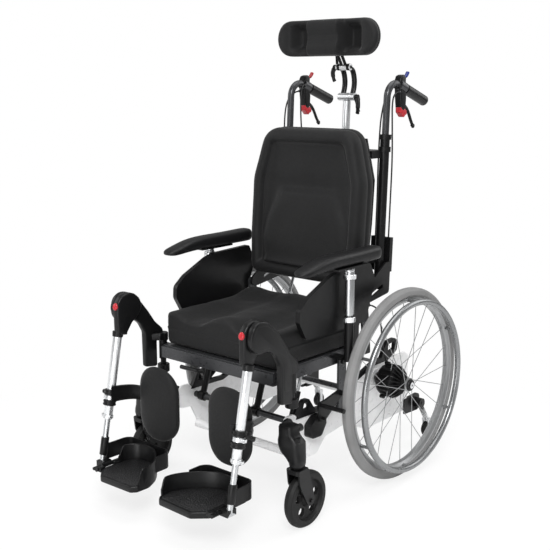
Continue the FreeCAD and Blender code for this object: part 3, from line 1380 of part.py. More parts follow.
def make_calf():
    """Calf pad on its bracket, which turns on the leg tube."""
    direction = leg_direction()
    place = leg_point("calf_drop")
    ring_body = rod("calf_ring", "leg_radius + 8", 48, place - direction * 24, direction)
    centre = at("calf_offset", "calf_back", "calf_height")
    arm_start = place + V(-8, 0, 0)
    arm_end = at("calf_offset + 24", "calf_back + calf_thick / 2 + 8", "calf_height + 10")
    arm, _ = tube_along("calf_arm", [arm_start, V(arm_start.x - 8, arm_end.y - 10, arm_start.z - 2),
                                     arm_end], 11, [30])
    thick = num("calf_thick")
    sections = []
    for share, half_x, half_z in ((0.0, 0.9, 0.94), (0.25, 1.0, 1.0), (0.75, 1.0, 1.0), (1.0, 0.86, 0.9)):
        y = centre.y + thick * (share - 0.5)
        x = num("calf_half_width") * half_x
        z = num("calf_half_height") * half_z
        points = [V(centre.x - x, y, centre.z - z), V(centre.x + x, y, centre.z - z),
                  V(centre.x + x, y, centre.z + z), V(centre.x - x, y, centre.z + z)]
        sections.append(rounded_wire(points, x * 0.86))
    pad = loft("calf_pad_form", sections)
    return cut("calf_pad_body", fuse("calf_pad_solid", ring_body, arm, pad),
               rod("calf_bore", "leg_radius + running_gap", 90, place - direction * 45, direction))


make_drive_wheel()
make_base()
make_casters()
make_anti_tip()
make_parking_brake()
make_seat()
make_struts()
make_back()
make_handles()
make_cables()
make_headrest()
make_armrests()
make_legrests()

doc.recompute()
faults = []
for item in doc.Objects:
    if "Invalid" in item.State or "Error" in item.State:
        faults.append(item.Name)
for name, piece in subparts.items():
    shape = piece.Shape
    if shape.isNull() or not shape.isValid() or not shape.Solids:
        faults.append(name)
if faults:
    raise RuntimeError("failed: " + ", ".join(faults))

os.makedirs("parts", exist_ok=True)
for name, piece in subparts.items():
    piece.Shape.exportStep("parts/%s.step" % name)
print(len(subparts), "sub-parts")
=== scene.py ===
import bmesh
import bpy
import json
import math
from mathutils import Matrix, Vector, noise


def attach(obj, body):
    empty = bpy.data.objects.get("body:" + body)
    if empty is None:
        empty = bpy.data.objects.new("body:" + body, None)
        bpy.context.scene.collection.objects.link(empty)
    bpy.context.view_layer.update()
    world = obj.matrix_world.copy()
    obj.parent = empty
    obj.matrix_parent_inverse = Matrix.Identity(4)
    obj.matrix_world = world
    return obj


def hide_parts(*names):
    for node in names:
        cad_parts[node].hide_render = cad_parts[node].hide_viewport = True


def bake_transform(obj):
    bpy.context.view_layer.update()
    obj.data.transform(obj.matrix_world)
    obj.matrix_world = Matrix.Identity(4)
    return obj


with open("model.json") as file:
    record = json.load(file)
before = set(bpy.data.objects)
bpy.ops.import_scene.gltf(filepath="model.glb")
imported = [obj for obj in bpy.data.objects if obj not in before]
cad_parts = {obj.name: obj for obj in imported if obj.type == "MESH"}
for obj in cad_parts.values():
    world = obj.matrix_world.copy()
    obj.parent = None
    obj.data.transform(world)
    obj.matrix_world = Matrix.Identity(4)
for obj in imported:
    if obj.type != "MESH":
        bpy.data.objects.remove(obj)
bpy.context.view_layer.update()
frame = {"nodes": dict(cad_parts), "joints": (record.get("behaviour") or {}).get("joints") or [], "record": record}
joints = {joint["name"]: joint for joint in frame["joints"]}

# The chair faces -Y and its own left is +X. Heights are from the floor.
# Distances behind the drive axle become the frame's Y by adding the axle's place.
AXLE = joints["drive_wheel_left_spin"]["pos_m"][1]
MM = 0.001


def at(x, y, z):
    """A point from millimetres, its y measured behind the drive axle."""
    return Vector((x * MM, y * MM + AXLE, z * MM))


def placed(name, data):
    """A new object in the scene."""
    item = bpy.data.objects.new(name, data)
    bpy.context.collection.objects.link(item)
    return item


# Camera, at the photograph's viewing angle

CAMERA_PLACE = at(1884, -2430, 1235)
CAMERA_BACK = Vector((0.6389, -0.7431, 0.1995))
SENSOR_WIDTH = 36
LENS = 62.107

camera = placed("camera", bpy.data.cameras.new("camera"))
camera.data.sensor_width = SENSOR_WIDTH
camera.data.lens = LENS
camera.location = CAMERA_PLACE
camera.rotation_mode = "QUATERNION"
camera.rotation_quaternion = CAMERA_BACK.to_track_quat("Z", "Y")
bpy.context.scene.camera = camera
bpy.context.scene.view_settings.view_transform = "Standard"


# Materials

# The range that most of a noise lies in.
NOISE_LOW, NOISE_HIGH = 0.3, 0.7


def empty_nodes(owner):
    """The owner's shader nodes, switched on and cleared."""
    owner.use_nodes = True
    owner.node_tree.nodes.clear()
    return owner.node_tree


def node_of(tree, kind, values, links):
    """A shader node, its sockets set to values or linked to other nodes' outputs."""
    node = tree.nodes.new("ShaderNode" + kind)
    for socket, value in values.items():
        node.inputs[socket].default_value = value
    for socket, source in links.items():
        tree.links.new(source, node.inputs[socket])
    return node


def math_of(tree, operation, *sources, kind="Math"):
    """A maths node over the outputs given."""
    node = node_of(tree, kind, {}, dict(enumerate(sources)))
    node.operation = operation
    return node


def shader(name):
    """A new material with one Principled shader, and the object's own coordinates."""
    made = bpy.data.materials.new(name)
    tree = empty_nodes(made)
    main = tree.nodes.new("ShaderNodeBsdfPrincipled")
    node_of(tree, "OutputMaterial", {}, {0: main.outputs[0]})
    where = tree.nodes.new("ShaderNodeTexCoord").outputs["Object"]
    return made, tree, main, where


def noise_at(tree, where, scale, detail=3.0, stretch=None):
    """Noise over the object's own coordinates, with an optional stretch along each axis."""
    if stretch:
        where = node_of(tree, "Mapping", {"Scale": stretch}, {"Vector": where}).outputs[0]
    return node_of(tree, "TexNoise", {"Scale": scale, "Detail": detail}, {"Vector": where}).outputs["Fac"]


def spread(tree, value, low, high):
    """The noise's range mapped to another."""
    limits = {"From Min": NOISE_LOW, "From Max": NOISE_HIGH, "To Min": low, "To Max": high}
    return node_of(tree, "MapRange", limits, {"Value": value}).outputs[0]


def tinted(tree, value, colour, low, high):
    """The colour between a darker and a lighter share of itself."""
    ramp = node_of(tree, "ValToRGB", {}, {0: value})
    for element, position, share in zip(ramp.color_ramp.elements, (NOISE_LOW, NOISE_HIGH), (low, high)):
        element.position = position
        element.color = [min(1.0, c * share) for c in colour] + [1.0]
    return ramp.outputs[0]


def bump(tree, height, strength, distance, before=None):
    """A normal from a height, added to the normal before it if there is one."""
    links = {"Height": height} if before is None else {"Height": height, "Normal": before}
    return node_of(tree, "Bump", {"Strength": strength, "Distance": distance}, links).outputs[0]


def dress(tree, main, colour, roughness, normal):
    """Link the colour, roughness and normal to the main shader."""
    tree.links.new(colour, main.inputs["Base Color"])
    tree.links.new(roughness, main.inputs["Roughness"])
    tree.links.new(normal, main.inputs["Normal"])


def finish_of(name, colour, rough, metal=0.0, grain=700.0, depth=0.3, vary=(0.93, 1.07), stretch=None,
              coat=0.0, rough_vary=0.05, specular=0.24):
    """A surface with small changes of colour and roughness, and a fine grain."""
    made, tree, main, where = shader(name)
    broad = noise_at(tree, where, 14.0)
    cloudy = noise_at(tree, where, 55.0, 4.0, stretch)
    roughness = spread(tree, cloudy, max(0.02, rough - rough_vary), rough + rough_vary)
    fine = noise_at(tree, where, grain, 2.0, stretch)
    dress(tree, main, tinted(tree, broad, colour, *vary), roughness, bump(tree, fine, depth, 0.0004))
    main.inputs["Metallic"].default_value = metal
    main.inputs["Coat Weight"].default_value = coat
    main.inputs["Specular IOR Level"].default_value = specular
    return made


THREAD = 2100.0


def cloth_finish(name, colour):
    """Woven cover cloth: threads both ways, soft creases and a slight sheen."""
    made, tree, main, where = shader(name)
    weave = None
    for turn in ((1, 0, 0), (0, 0.7, 0.7), (0, 0.7, -0.7)):
        dot = math_of(tree, "DOT_PRODUCT", where, kind="VectorMath")
        dot.inputs[1].default_value = [part * THREAD for part in turn]
        wave = math_of(tree, "SINE", dot.outputs["Value"]).outputs[0]
        weave = wave if weave is None else math_of(tree, "ADD", weave, wave).outputs[0]
    soft = bump(tree, noise_at(tree, where, 16.0, 4.0), 0.25, 0.004)
    roughness = spread(tree, noise_at(tree, where, 130.0), 0.57, 0.67)
    dress(tree, main, tinted(tree, noise_at(tree, where, 9.0), colour, 0.9, 1.1), roughness,
          bump(tree, weave, 0.35, 0.00008, soft))
    main.inputs["Sheen Weight"].default_value = 0.08
    main.inputs["Sheen Roughness"].default_value = 0.45
    main.inputs["Specular IOR Level"].default_value = 0.2
    return made


def pebbled(name, colour):
    """Black plastic with small round studs."""
    made, tree, main, where = shader(name)
    studs = node_of(tree, "TexVoronoi", {"Scale": 190.0}, {"Vector": where})
    dress(tree, main, tinted(tree, noise_at(tree, where, 60.0), colour, 0.8, 1.4),
          spread(tree, noise_at(tree, where, 200.0), 0.3, 0.5),
          bump(tree, studs.outputs["Distance"], 0.9, 0.002))
    return made


FABRIC = cloth_finish("cover_cloth", (0.0075, 0.0075, 0.0078))
FOAM_SKIN = finish_of("foam_skin", (0.0065, 0.0065, 0.007), 0.42, grain=480.0, depth=0.35)
PLASTIC = finish_of("moulded_plastic", (0.0055, 0.0055, 0.0058), 0.34, grain=900.0, depth=0.22)
SHINY_PLASTIC = finish_of("smooth_plastic", (0.008, 0.008, 0.0085), 0.26, grain=300.0, depth=0.06)
GREY_PAINT = finish_of("grey_paint", (0.045, 0.046, 0.049), 0.3, metal=0.45, specular=0.5, grain=1300.0,
                       depth=0.12)
BLACK_METAL = finish_of("black_paint", (0.007, 0.007, 0.0075), 0.33, grain=1300.0, depth=0.12)
WHITE_PAINT = finish_of("white_paint", (0.93, 0.93, 0.935), 0.3, specular=0.5, grain=900.0, depth=0.08,
                        vary=(0.97, 1.03), coat=0.2)
SILVER = finish_of("drawn_aluminium", (0.72, 0.73, 0.74), 0.3, metal=0.9, grain=900.0, depth=0.1,
                   stretch=(1.0, 1.0, 0.06), vary=(0.97, 1.03))
STEEL = finish_of("drawn_steel", (0.5, 0.51, 0.52), 0.27, metal=1.0, grain=900.0, depth=0.1,
                  stretch=(1.0, 1.0, 0.06), vary=(0.95, 1.04))
CHROME = finish_of("bright_steel", (0.78, 0.79, 0.8), 0.13, metal=1.0, grain=500.0, depth=0.03,
                   rough_vary=0.03)
RIM = finish_of("rim_alloy", (0.36, 0.365, 0.37), 0.34, metal=0.8, grain=900.0, depth=0.1)
HANDRIM = finish_of("handrim_alloy", (0.26, 0.265, 0.27), 0.3, metal=0.85, grain=900.0, depth=0.08)
TYRE = finish_of("grey_rubber", (0.21, 0.21, 0.21), 0.72, grain=520.0, depth=0.4)
BLACK_TYRE = finish_of("black_rubber", (0.008, 0.008, 0.008), 0.55, grain=600.0, depth=0.35)
RED = finish_of("red_plastic", (0.42, 0.02, 0.028), 0.3, grain=400.0, depth=0.05, coat=0.3)
BLUE = finish_of("blue_plastic", (0.008, 0.02, 0.16), 0.3, grain=400.0, depth=0.05, coat=0.3)
CABLE = finish_of("cable_sheath", (0.014, 0.014, 0.014), 0.45, grain=900.0, depth=0.15)
TREAD = pebbled("pebbled_tread", (0.008, 0.008, 0.0085))

SLOT_FINISH = {
    "white_frame": WHITE_PAINT, "grey_frame": GREY_PAINT, "black_metal": BLACK_METAL, "silver_tube": SILVER,
    "steel": STEEL, "hub_alloy": RIM, "grey_tyre": TYRE, "black_tyre": BLACK_TYRE, "rim_alloy": RIM,
    "handrim_metal": HANDRIM, "black_plastic": PLASTIC, "upholstery": FABRIC, "pad_black": FOAM_SKIN,
    "red_plastic": RED, "blue_plastic": BLUE, "cable_black": CABLE, "armpad_black": FOAM_SKIN,
}

slots = {entry["node"]: entry["material_slot"] for entry in frame["record"]["subparts"]}
for name, item in frame["nodes"].items():
    item.data.materials.clear()
    item.data.materials.append(SLOT_FINISH[slots[name]])


# Building pieces

class Form:
    """Points and faces of one piece, made from rings, turned profiles and outlines."""

    def __init__(self):
        self.points = []
        self.faces = []

    def add(self, points, faces):
        """Add points and the faces between them."""
        start = len(self.points)
        self.points.extend(points)
        for face in faces:
            self.faces.append([start + i for i in face])

    def loft(self, rings, closed=False):
        """Skin over rings that have the same number of points, with an end face on each unless closed."""
        count = len(rings[0])
        points = [point for ring in rings for point in ring]
        faces = []
        total = len(rings)
        for r in range(total if closed else total - 1):
            low, high = r * count, (r + 1) % total * count
            for i in range(count):
                j = (i + 1) % count
                faces.append((low + i, low + j, high + j, high + i))
        if not closed:
            faces.append(tuple(range(count - 1, -1, -1)))
            faces.append(tuple((total - 1) * count + i for i in range(count)))
        self.add(points, faces)

    def turn(self, centre, axis, profile, segments=48, closed=False):
        """A turned piece: the profile is (along, radius) in millimetres from the centre."""
        axis = Vector(axis).normalized()
        side = axis.orthogonal().normalized()
        other = axis.cross(side)
        rings = []
        for along, radius in profile:
            ring = []
            for i in range(segments):
                angle = 2 * math.pi * i / segments
                out = side * math.cos(angle) + other * math.sin(angle)
                ring.append(centre + axis * (along * MM) + out * (max(radius, 0.01) * MM))
            rings.append(ring)
        self.loft(rings, closed)

    def tube(self, path, radius, segments=16, flat=1.0, up=None):
        """A round or flattened tube along a path of points, radius in millimetres or one per point."""
        radii = radius if isinstance(radius, (list, tuple)) else [radius] * len(path)
        rings = []
        last = None
        for i, point in enumerate(path):
            ahead = path[min(i + 1, len(path) - 1)] - path[max(i - 1, 0)]
            ahead.normalize()
            if last is None:
                last = Vector(up) if up is not None else ahead.orthogonal()
            side = (last - ahead * last.dot(ahead)).normalized()
            last = side
            other = ahead.cross(side)
            rings.append([point + (side * math.cos(a) + other * (math.sin(a) * flat)) * (radii[i] * MM)
                          for a in (2 * math.pi * k / segments for k in range(segments))])
        self.loft(rings)

    def slab(self, outline, start, thick, direction, round_edge=1.2, steps=3):
        """An outline of points padded along a direction, its edges rounded."""
        direction = Vector(direction).normalized()
        centre = sum(outline, Vector()) / len(outline)
        normals = []
        count = len(outline)
        for i in range(count):
            along = (outline[(i + 1) % count] - outline[i - 1]).normalized()
            out = along.cross(direction)
            if out.dot(outline[i] - centre) < 0 and count < 5:
                out = -out
            normals.append(out.normalized())
        area = sum(((outline[i] - centre).cross(outline[(i + 1) % count] - centre)).dot(direction)
                   for i in range(count))
        if area < 0:
            normals = [-item for item in normals]
        edge = min(round_edge, thick / 2 - 0.05)
        angles = [math.pi / 2 * k / steps for k in range(steps + 1)]
        profile = [(edge * (1 - math.cos(angle)), edge * (1 - math.sin(angle))) for angle in angles]
        rings = []
        for depth, drawn_in in profile:
            rings.append([p + direction * ((start + depth) * MM) - n * (drawn_in * MM)
                          for p, n in zip(outline, normals)])
        for depth, drawn_in in reversed(profile):
            rings.append([p + direction * ((start + thick - depth) * MM) - n * (drawn_in * MM)
                          for p, n in zip(outline, normals)])
        self.loft(rings)

    def put(self, name, body, finish, side=1, sharp=35):
        """Make the object. side -1 mirrors it to the chair's right."""
        points = [Vector((p.x * side, p.y, p.z)) for p in self.points]
        faces = self.faces if side > 0 else [face[::-1] for face in self.faces]
        mesh = bpy.data.meshes.new(name)
        mesh.from_pydata(points, [], faces)
        mesh.validate()
        item = placed(name, mesh)
        mesh.materials.append(finish)
        mesh.shade_smooth()
        if sharp < 180:
            mesh.set_sharp_from_angle(angle=math.radians(sharp))
        reshape(item, lambda work: bmesh.ops.recalc_face_normals(work, faces=work.faces))
        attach(item, body)
        return item


def turned(name, body, finish, side, centre, axis, profile, segments, closed=False):
    """A piece that is one turned form."""
    form = Form()
    form.turn(centre, axis, profile, segments, closed)
    return form.put(name, body, finish, side)


def reshape(item, change):
    """Apply a change to the object's mesh through bmesh."""
    work = bmesh.new()
    work.from_mesh(item.data)
    change(work)
    work.to_mesh(item.data)
    work.free()


def subdivided(item):
    """Round the shape by one level of subdivision."""
    layer = item.modifiers.new("smooth", "SUBSURF")
    layer.levels = layer.render_levels = 1


def rounded(corners, radii, steps=6):
    """An outline in two coordinates with rounded corners."""
    count = len(corners)
    if isinstance(radii, (int, float)):
        radii = [radii] * count
    out = []
    for i in range(count):
        here = Vector(corners[i])
        before = Vector(corners[i - 1]) - here
        after = Vector(corners[(i + 1) % count]) - here
        if radii[i] <= 0:
            out.append(here)
            continue
        half = before.angle(after) / 2
        reach = min(radii[i] / math.tan(half), before.length * 0.49, after.length * 0.49)
        radius = reach * math.tan(half)
        first = here + before.normalized() * reach
        last = here + after.normalized() * reach
        middle = here + (before.normalized() + after.normalized()).normalized() * (radius / math.sin(half))
        start = first - middle
        sweep = math.pi - 2 * half
        cross = start.x * (last - middle).y - start.y * (last - middle).x
        sign = 1 if cross > 0 else -1
        for k in range(steps + 1):
            angle = sign * sweep * k / steps
            out.append(middle + Vector((start.x * math.cos(angle) - start.y * math.sin(angle),
                                        start.x * math.sin(angle) + start.y * math.cos(angle))))
    return out


def side_outline(corners, radii, x):
    """A rounded outline in (y, z), in millimetres, at a distance x from the middle."""
    return [at(x, p.x, p.y) for p in rounded(corners, radii)]


def top_outline(corners, radii, z):
    """A rounded outline in (x, y), in millimetres, at a height z."""
    return [at(p.x, p.y, z) for p in rounded(corners, radii)]


def curve(points, steps=12):
    """Points along a smooth Catmull-Rom line through the given ones."""
    out = []
    count = len(points)
    for i in range(count - 1):
        a, b = points[max(i - 1, 0)], points[i]
        c, d = points[i + 1], points[min(i + 2, count - 1)]
        for k in range(steps):
            t = k / steps
            out.append(0.5 * ((2 * b) + (c - a) * t + (2 * a - 5 * b + 4 * c - d) * t * t
                              + (3 * b - a - 3 * c + d) * t ** 3))
    out.append(points[-1].copy())
    return out


def blend_value(value, low, high):
    """0 below low, 1 above high, and a smooth step between."""
    share = min(1.0, max(0.0, (value - low) / (high - low)))
    return share * share * (3 - 2 * share)


def lerp_table(value, table):
    """Value from (place, value) pairs with straight lines between."""
    if value <= table[0][0]:
        return table[0][1]
    for (a, fa), (b, fb) in zip(table, table[1:]):
        if value <= b:
            return fa + (fb - fa) * (value - a) / (b - a)
    return table[-1][1]


SIDES = (("left", 1), ("right", -1))


def paint(node, *rules):
    """Give parts of a CAD node their own finish: each rule is (finish, test of a face's middle in mm)."""
    mesh = frame["nodes"][node].data
    for finish, test in rules:
        mesh.materials.append(finish)
        index = len(mesh.materials) - 1
        for polygon in mesh.polygons:
            c = polygon.center
            if test(abs(c.x) / MM, (c.y - AXLE) / MM, c.z / MM):
                polygon.material_index = index


EDGE_WIDTH, EDGE_SEGMENTS = 0.8, 2


def ease_edges(node):
    """Small rounded edges on a CAD node."""
    item = frame["nodes"][node]
    item.data.shade_smooth()
    item.data.set_sharp_from_angle(angle=math.radians(35))
    layer = item.modifiers.new("edges", "BEVEL")
    layer.width = EDGE_WIDTH * MM
    layer.segments = EDGE_SEGMENTS
    layer.limit_method = "ANGLE"
    layer.angle_limit = math.radians(40)
    layer.use_clamp_overlap = True
    layer.harden_normals = True


# Padded pieces

def inset(corners, distance):
    """A convex outline's corners moved inwards."""
    count = len(corners)
    out = []
    for i in range(count):
        a, b, c = (Vector(corners[j % count]) for j in (i - 1, i, i + 1))
        one, two = (b - a).normalized(), (c - b).normalized()
        n1, n2 = Vector((-one.y, one.x)), Vector((-two.y, two.x))
        middle = n1 + n2
        out.append(b + middle * (distance / max(0.2, middle.dot(n1))))
    return out


def even(points, count):
    """Points at equal steps along an open line."""
    lengths = [0.0]
    for a, b in zip(points, points[1:]):
        lengths.append(lengths[-1] + (b - a).length)
    out = []
    k = 0
    for i in range(count):
        target = lengths[-1] * i / count
        while lengths[k + 1] < target:
            k += 1
        span = lengths[k + 1] - lengths[k]
        out.append(points[k].lerp(points[k + 1], (target - lengths[k]) / span if span else 0.0))
    return out


def ring_of(corners, radii, distance, wide, high):
    """Outline points inset by a distance, starting at the low left corner, the same number on each side."""
    line = rounded(inset(corners, distance), [max(r - distance, 3.0) for r in radii], 10)
    middle = sum(line, Vector((0, 0))) / len(line)
    half_x = max(abs(p.x - middle.x) for p in line)
    half_y = max(abs(p.y - middle.y) for p in line)
    starts = []
    for sx, sy in ((-1, -1), (1, -1), (1, 1), (-1, 1)):
        starts.append(max(range(len(line)), key=lambda i: sx * (line[i].x - middle.x) / half_x
                          + sy * (line[i].y - middle.y) / half_y))
    ring = []
    for n, (first, last) in enumerate(zip(starts, starts[1:] + starts[:1])):
        part = line[first:last + 1] if last > first else line[first:] + line[:last + 1]
        ring += even(part, wide if n % 2 == 0 else high)
    return ring


def pad(form, corners, radii, profile, place, extra, wide, high):
    """A padded piece: rings inset from an outline at given heights, both faces filled with a grid.

    place turns (u, v, height) into a point, and extra adds to the height from (u, v, inset, height)."""
    rings = []
    for distance, height in profile:
        rings.append([(p.x, p.y, distance, height) for p in ring_of(corners, radii, distance, wide, high)])

    def spot(u, v, distance, height):
        more = extra(u, v, distance, height) if extra else 0.0
        return place(u, v, height + more)

    count = 2 * (wide + high)
    points = [spot(*item) for ring in rings for item in ring]
    faces = []
    for r in range(len(rings) - 1):
        for i in range(count):
            j = (i + 1) % count
            faces.append((r * count + i, r * count + j, (r + 1) * count + j, (r + 1) * count + i))
    form.add(points, faces)
    for ring, flip in ((rings[0], True), (rings[-1], False)):
        distance, height = ring[0][2], ring[0][3]
        low = [Vector(p[:2]) for p in ring[:wide + 1]]
        right = [Vector(p[:2]) for p in ring[wide:wide + high + 1]]
        top = [Vector(p[:2]) for p in ring[wide + high:2 * wide + high + 1]][::-1]
        left = [Vector(p[:2]) for p in (ring[2 * wide + high:] + ring[:1])][::-1]
        grid = []
        for j in range(high + 1):
            t = j / high
            for i in range(wide + 1):
                s = i / wide
                p = (low[i] * (1 - t) + top[i] * t + left[j] * (1 - s) + right[j] * s
                     - low[0] * ((1 - s) * (1 - t)) - low[-1] * (s * (1 - t))
                     - top[0] * ((1 - s) * t) - top[-1] * (s * t))
                grid.append(spot(p.x, p.y, distance + 1, height))
        cells = []
        for j in range(high):
            for i in range(wide):
                a = j * (wide + 1) + i
                cell = (a, a + 1, a + wide + 2, a + wide + 1)
                cells.append(cell[::-1] if flip else cell)
        form.add(grid, cells)


WELD_REACH = 0.05


def one_skin(item):
    """Join the points that lie together, so that a padded piece is one closed skin, and round it."""
    def join(work):
        bmesh.ops.remove_doubles(work, verts=work.verts, dist=WELD_REACH * MM)
        bmesh.ops.recalc_face_normals(work, faces=work.faces)

    reshape(item, join)
    item.data.shade_smooth()
    subdivided(item)


def cover(name, body, finish, side, outline, profile, place, extra, cells):
    """A padded piece with one closed skin. outline is corners and radii, cells the grid's two counts."""
    form = Form()
    pad(form, *outline, profile, place, extra, *cells)
    item = form.put(name, body, finish, side, sharp=180)
    one_skin(item)
    return item


def ripple(x, y, z, size, depth):
    """Soft unevenness, in mm."""
    return noise.noise(Vector((x / size, y / size, z / size))) * depth


# Back cushion: a thick border round a sunk panel, with a lumbar pad low in the panel

BACK_EDGE = [(-213, 613), (213, 613), (221, 760), (221, 930), (176, 1091), (-176, 1091), (-221, 930),
             (-221, 760)]
BACK_RADII = [34, 34, 200, 160, 62, 62, 160, 200]
# How far inside the outline each ring lies, and how high, in mm.
BACK_PROFILE = [(90, -84), (40, -84), (14, -82), (4, -77), (-1, -68), (-2, -58), (-1, -50), (2.5, -46),
                (0, -42), (-0.5, -32), (1, -20), (5, -10), (12, -3), (22, 0.5), (31, 0), (38, -5),
                (43, -13), (46, -20), (49, -19), (54, -22), (62, -25), (74, -27), (90, -28), (108, -29),
                (126, -30)]
# How far the lumbar pad reaches to each side, at heights above the floor.
LUMBAR = ((600, 150), (650, 164), (737, 176), (800, 166), (860, 138), (905, 116))


def back_place(x, z, height):
    """A point of the back cushion, whose front leans back as it rises."""
    return at(x, -128 + (z - 620) * 0.078 - height, z)


def back_shape(x, z, distance, height):
    """Extra height: the lumbar pad, a softly crowned upper panel and slight unevenness."""
    more = ripple(x, 0, z, 60, 1.0)
    if distance < 44:
        return more
    inside = blend_value(lerp_table(z, LUMBAR) - abs(x), -2, 26) * blend_value(908 - z, 0, 26)
    more += inside * (24 - 10 * (abs(x) / 180) ** 2 - 6 * ((z - 740) / 160) ** 2)
    upper = blend_value(z, 905, 960)
    return more + upper * 8 * (1 - (x / 190) ** 2)


back_pad = cover("back_cushion_cover", "back", FABRIC, 1, (BACK_EDGE, BACK_RADII),
                 BACK_PROFILE, back_place, back_shape, (36, 40))
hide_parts("back_cushion")

# Seat cushion: two thigh troughs with a ridge between them, higher at the rear

SEAT_EDGE = [(-224, -494), (224, -494), (224, -92), (-224, -92)]
SEAT_RADII = [11, 11, 30, 30]
SEAT_UNDERSIDE = 440
SEAT_PROFILE = [(60, 0), (30, 0), (10, 1), (2, 6), (0, 14), (0, 30), (0, 44), (-1, 50), (-2.5, 53), (-1, 56),
                (0.5, 57.5), (-0.5, 64), (0, 76), (0, 88), (1, 94), (4, 99), (10, 102), (20, 103), (32, 103),
                (46, 103)]


def seat_place(x, y, height):
    """A point of the seat cushion."""
    return at(x, y, SEAT_UNDERSIDE + height)


def seat_shape(x, y, distance, height):
    """Extra height of the top: the thigh troughs, the ridge and bump between them, and the raised rear."""
    if height < 60:
        return 0.0
    share = min(1.0, (height - 60) / 40)
    front = blend_value(-y, 250, 400)
    trough = math.exp(-((abs(x) - 112) / 58) ** 4) * (6 + 17 * front)
    bump = 9 * math.exp(-((x / 34) ** 2 + ((y + 462) / 34) ** 2))
    ridge = 3 * math.exp(-(x / 26) ** 2) * front
    rear = 18 * blend_value(y, -210, -120)
    return share * (bump + ridge + rear - trough + ripple(x, y, 0, 45, 1.6))


seat_pad = cover("seat_cushion_cover", "seat", FABRIC, 1, (SEAT_EDGE, SEAT_RADII),
                 SEAT_PROFILE, seat_place, seat_shape, (40, 36))
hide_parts("seat_cushion")


# Headrest: one long padded shell with a middle cushion and a hollow at each side

HEAD_EDGE = [(-197, 1315), (197, 1315), (197, 1428), (-197, 1428)]
HEAD_RADII = [56, 56, 56, 56]
HEAD_PROFILE = [(40, 0), (20, 0), (8, 2), (2, 7), (0, 13), (0, 17), (1.5, 19), (0, 21), (0, 25), (1, 29),
                (4, 33), (9, 36), (14, 37), (18, 36.5), (22, 36), (26, 36), (32, 36), (40, 36), (48, 36)]


def head_place(x, z, height):
    """A point of the headrest, whose ends bend slightly forwards."""
    return at(x, 46 - height - 0.0003 * x * x, z)


def head_shape(x, z, distance, height):
    """Extra height: the middle cushion, the hollow beside it and the swell of each wing."""
    if height < 20:
        return 0.0
    share = min(1.0, (height - 20) / 12)
    hollow = blend_value(distance, 6, 34) * blend_value(abs(x), 66, 84) * blend_value(146 - abs(x), 0, 30)
    middle = blend_value(66 - abs(x), -5, 10)
    wing = 7 * math.exp(-((abs(x) - 160) / 26) ** 2)
    cushion = 26 + 4 * blend_value(distance, 4, 22) - 7 * blend_value(distance, 28, 50)
    more = middle * cushion - hollow * 34 + wing
    return share * more + ripple(x, 7, z, 40, 0.6)


head = cover("headrest_cover", "head_pad", FABRIC, 1, (HEAD_EDGE, HEAD_RADII),
             HEAD_PROFILE, head_place, head_shape, (96, 24))
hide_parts("headrest_pad")


# Arm pads: moulded, with a drooping front tip

ARM_PLACES = (-453, -449, -441, -430, -414, -392, -360, -310, -250, -190, -140, -104, -86, -75, -69, -67)
ARM_PAD_X = 264
ARM_PAD_HALF = 29


def rounded_end(past, length):
    """The share of the width that is left at a distance past the start of a rounded end."""
    return max(0.08, math.sqrt(max(0.0, 1 - max(0.0, past / length) ** 2)))


def arm_ring(y):
    """The arm pad's outline at one place along it."""
    front = blend_value(-y, 320, 460)
    ends = min(1.0, rounded_end(-y - 418, 35), rounded_end(y + 92, 25))
    half = ARM_PAD_HALF * ends
    top = 747 - 27 * front + 2 * blend_value(y, -180, -100) - 9 * (1 - ends)
    low = 709 - 7 * front + 8 * (1 - ends)
    ring = []
    for i in range(40):
        angle = 2 * math.pi * i / 40
        c, s = math.cos(angle), math.sin(angle)
        wide = math.copysign(abs(c) ** 0.62, c) * half
        high = math.copysign(abs(s) ** 0.66, s) * (top - low) / 2
        crown = 2.5 * (1 - (wide / 30) ** 2) if s > 0 else 0.0
        ring.append(at(ARM_PAD_X + wide, y, (top + low) / 2 + high + crown * ends))
    return ring


for word, side in SIDES:
    form = Form()
    form.loft([arm_ring(y) for y in ARM_PLACES])
    arm = form.put("armpad_cover_" + word, "armrest_" + word, FOAM_SKIN, side, sharp=180)
    subdivided(arm)
    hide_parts("armpad_" + word)


# Calf pads on their brackets

CALF_EDGE = [(64, 176), (226, 176), (226, 404), (64, 404)]
CALF_RADII = [72, 72, 74, 74]
CALF_PROFILE = [(34, 0), (16, 0), (6, 2), (1, 7), (0, 11), (1.5, 13), (0.5, 15), (2, 20), (8, 24), (18, 26),
                (32, 26)]


def calf_place(x, z, height):
    """A point of the calf pad, which bends round the calf."""
    return at(x, -594 - height + 0.0011 * (x - 145) ** 2, z)


for word, side in SIDES:
    calf = cover("calf_pad_cover_" + word, "calf_" + word, FABRIC, side,
                 (CALF_EDGE, CALF_RADII), CALF_PROFILE, calf_place, None, (18, 26))


# Profiles that turned pieces share, as (along, radius) in mm

def collar(half, inner, outer):
    """A clamp ring about its own middle, its outer edges cut by 1 mm."""
    return [(-half, inner), (-half, outer - 1), (1 - half, outer), (half - 1, outer), (half, outer - 1),
            (half, inner)]


def rod(length, radius):
    """A solid rod with its edges cut by 1 mm."""
    return [(0, 0), (0, radius - 1), (1, radius), (length - 1, radius), (length, radius - 1), (length, 0)]


X_WAY = Vector((1, 0, 0))
Y_WAY = Vector((0, 1, 0))
Z_WAY = Vector((0, 0, 1))

# Brackets that hold the calf pads on the leg tubes

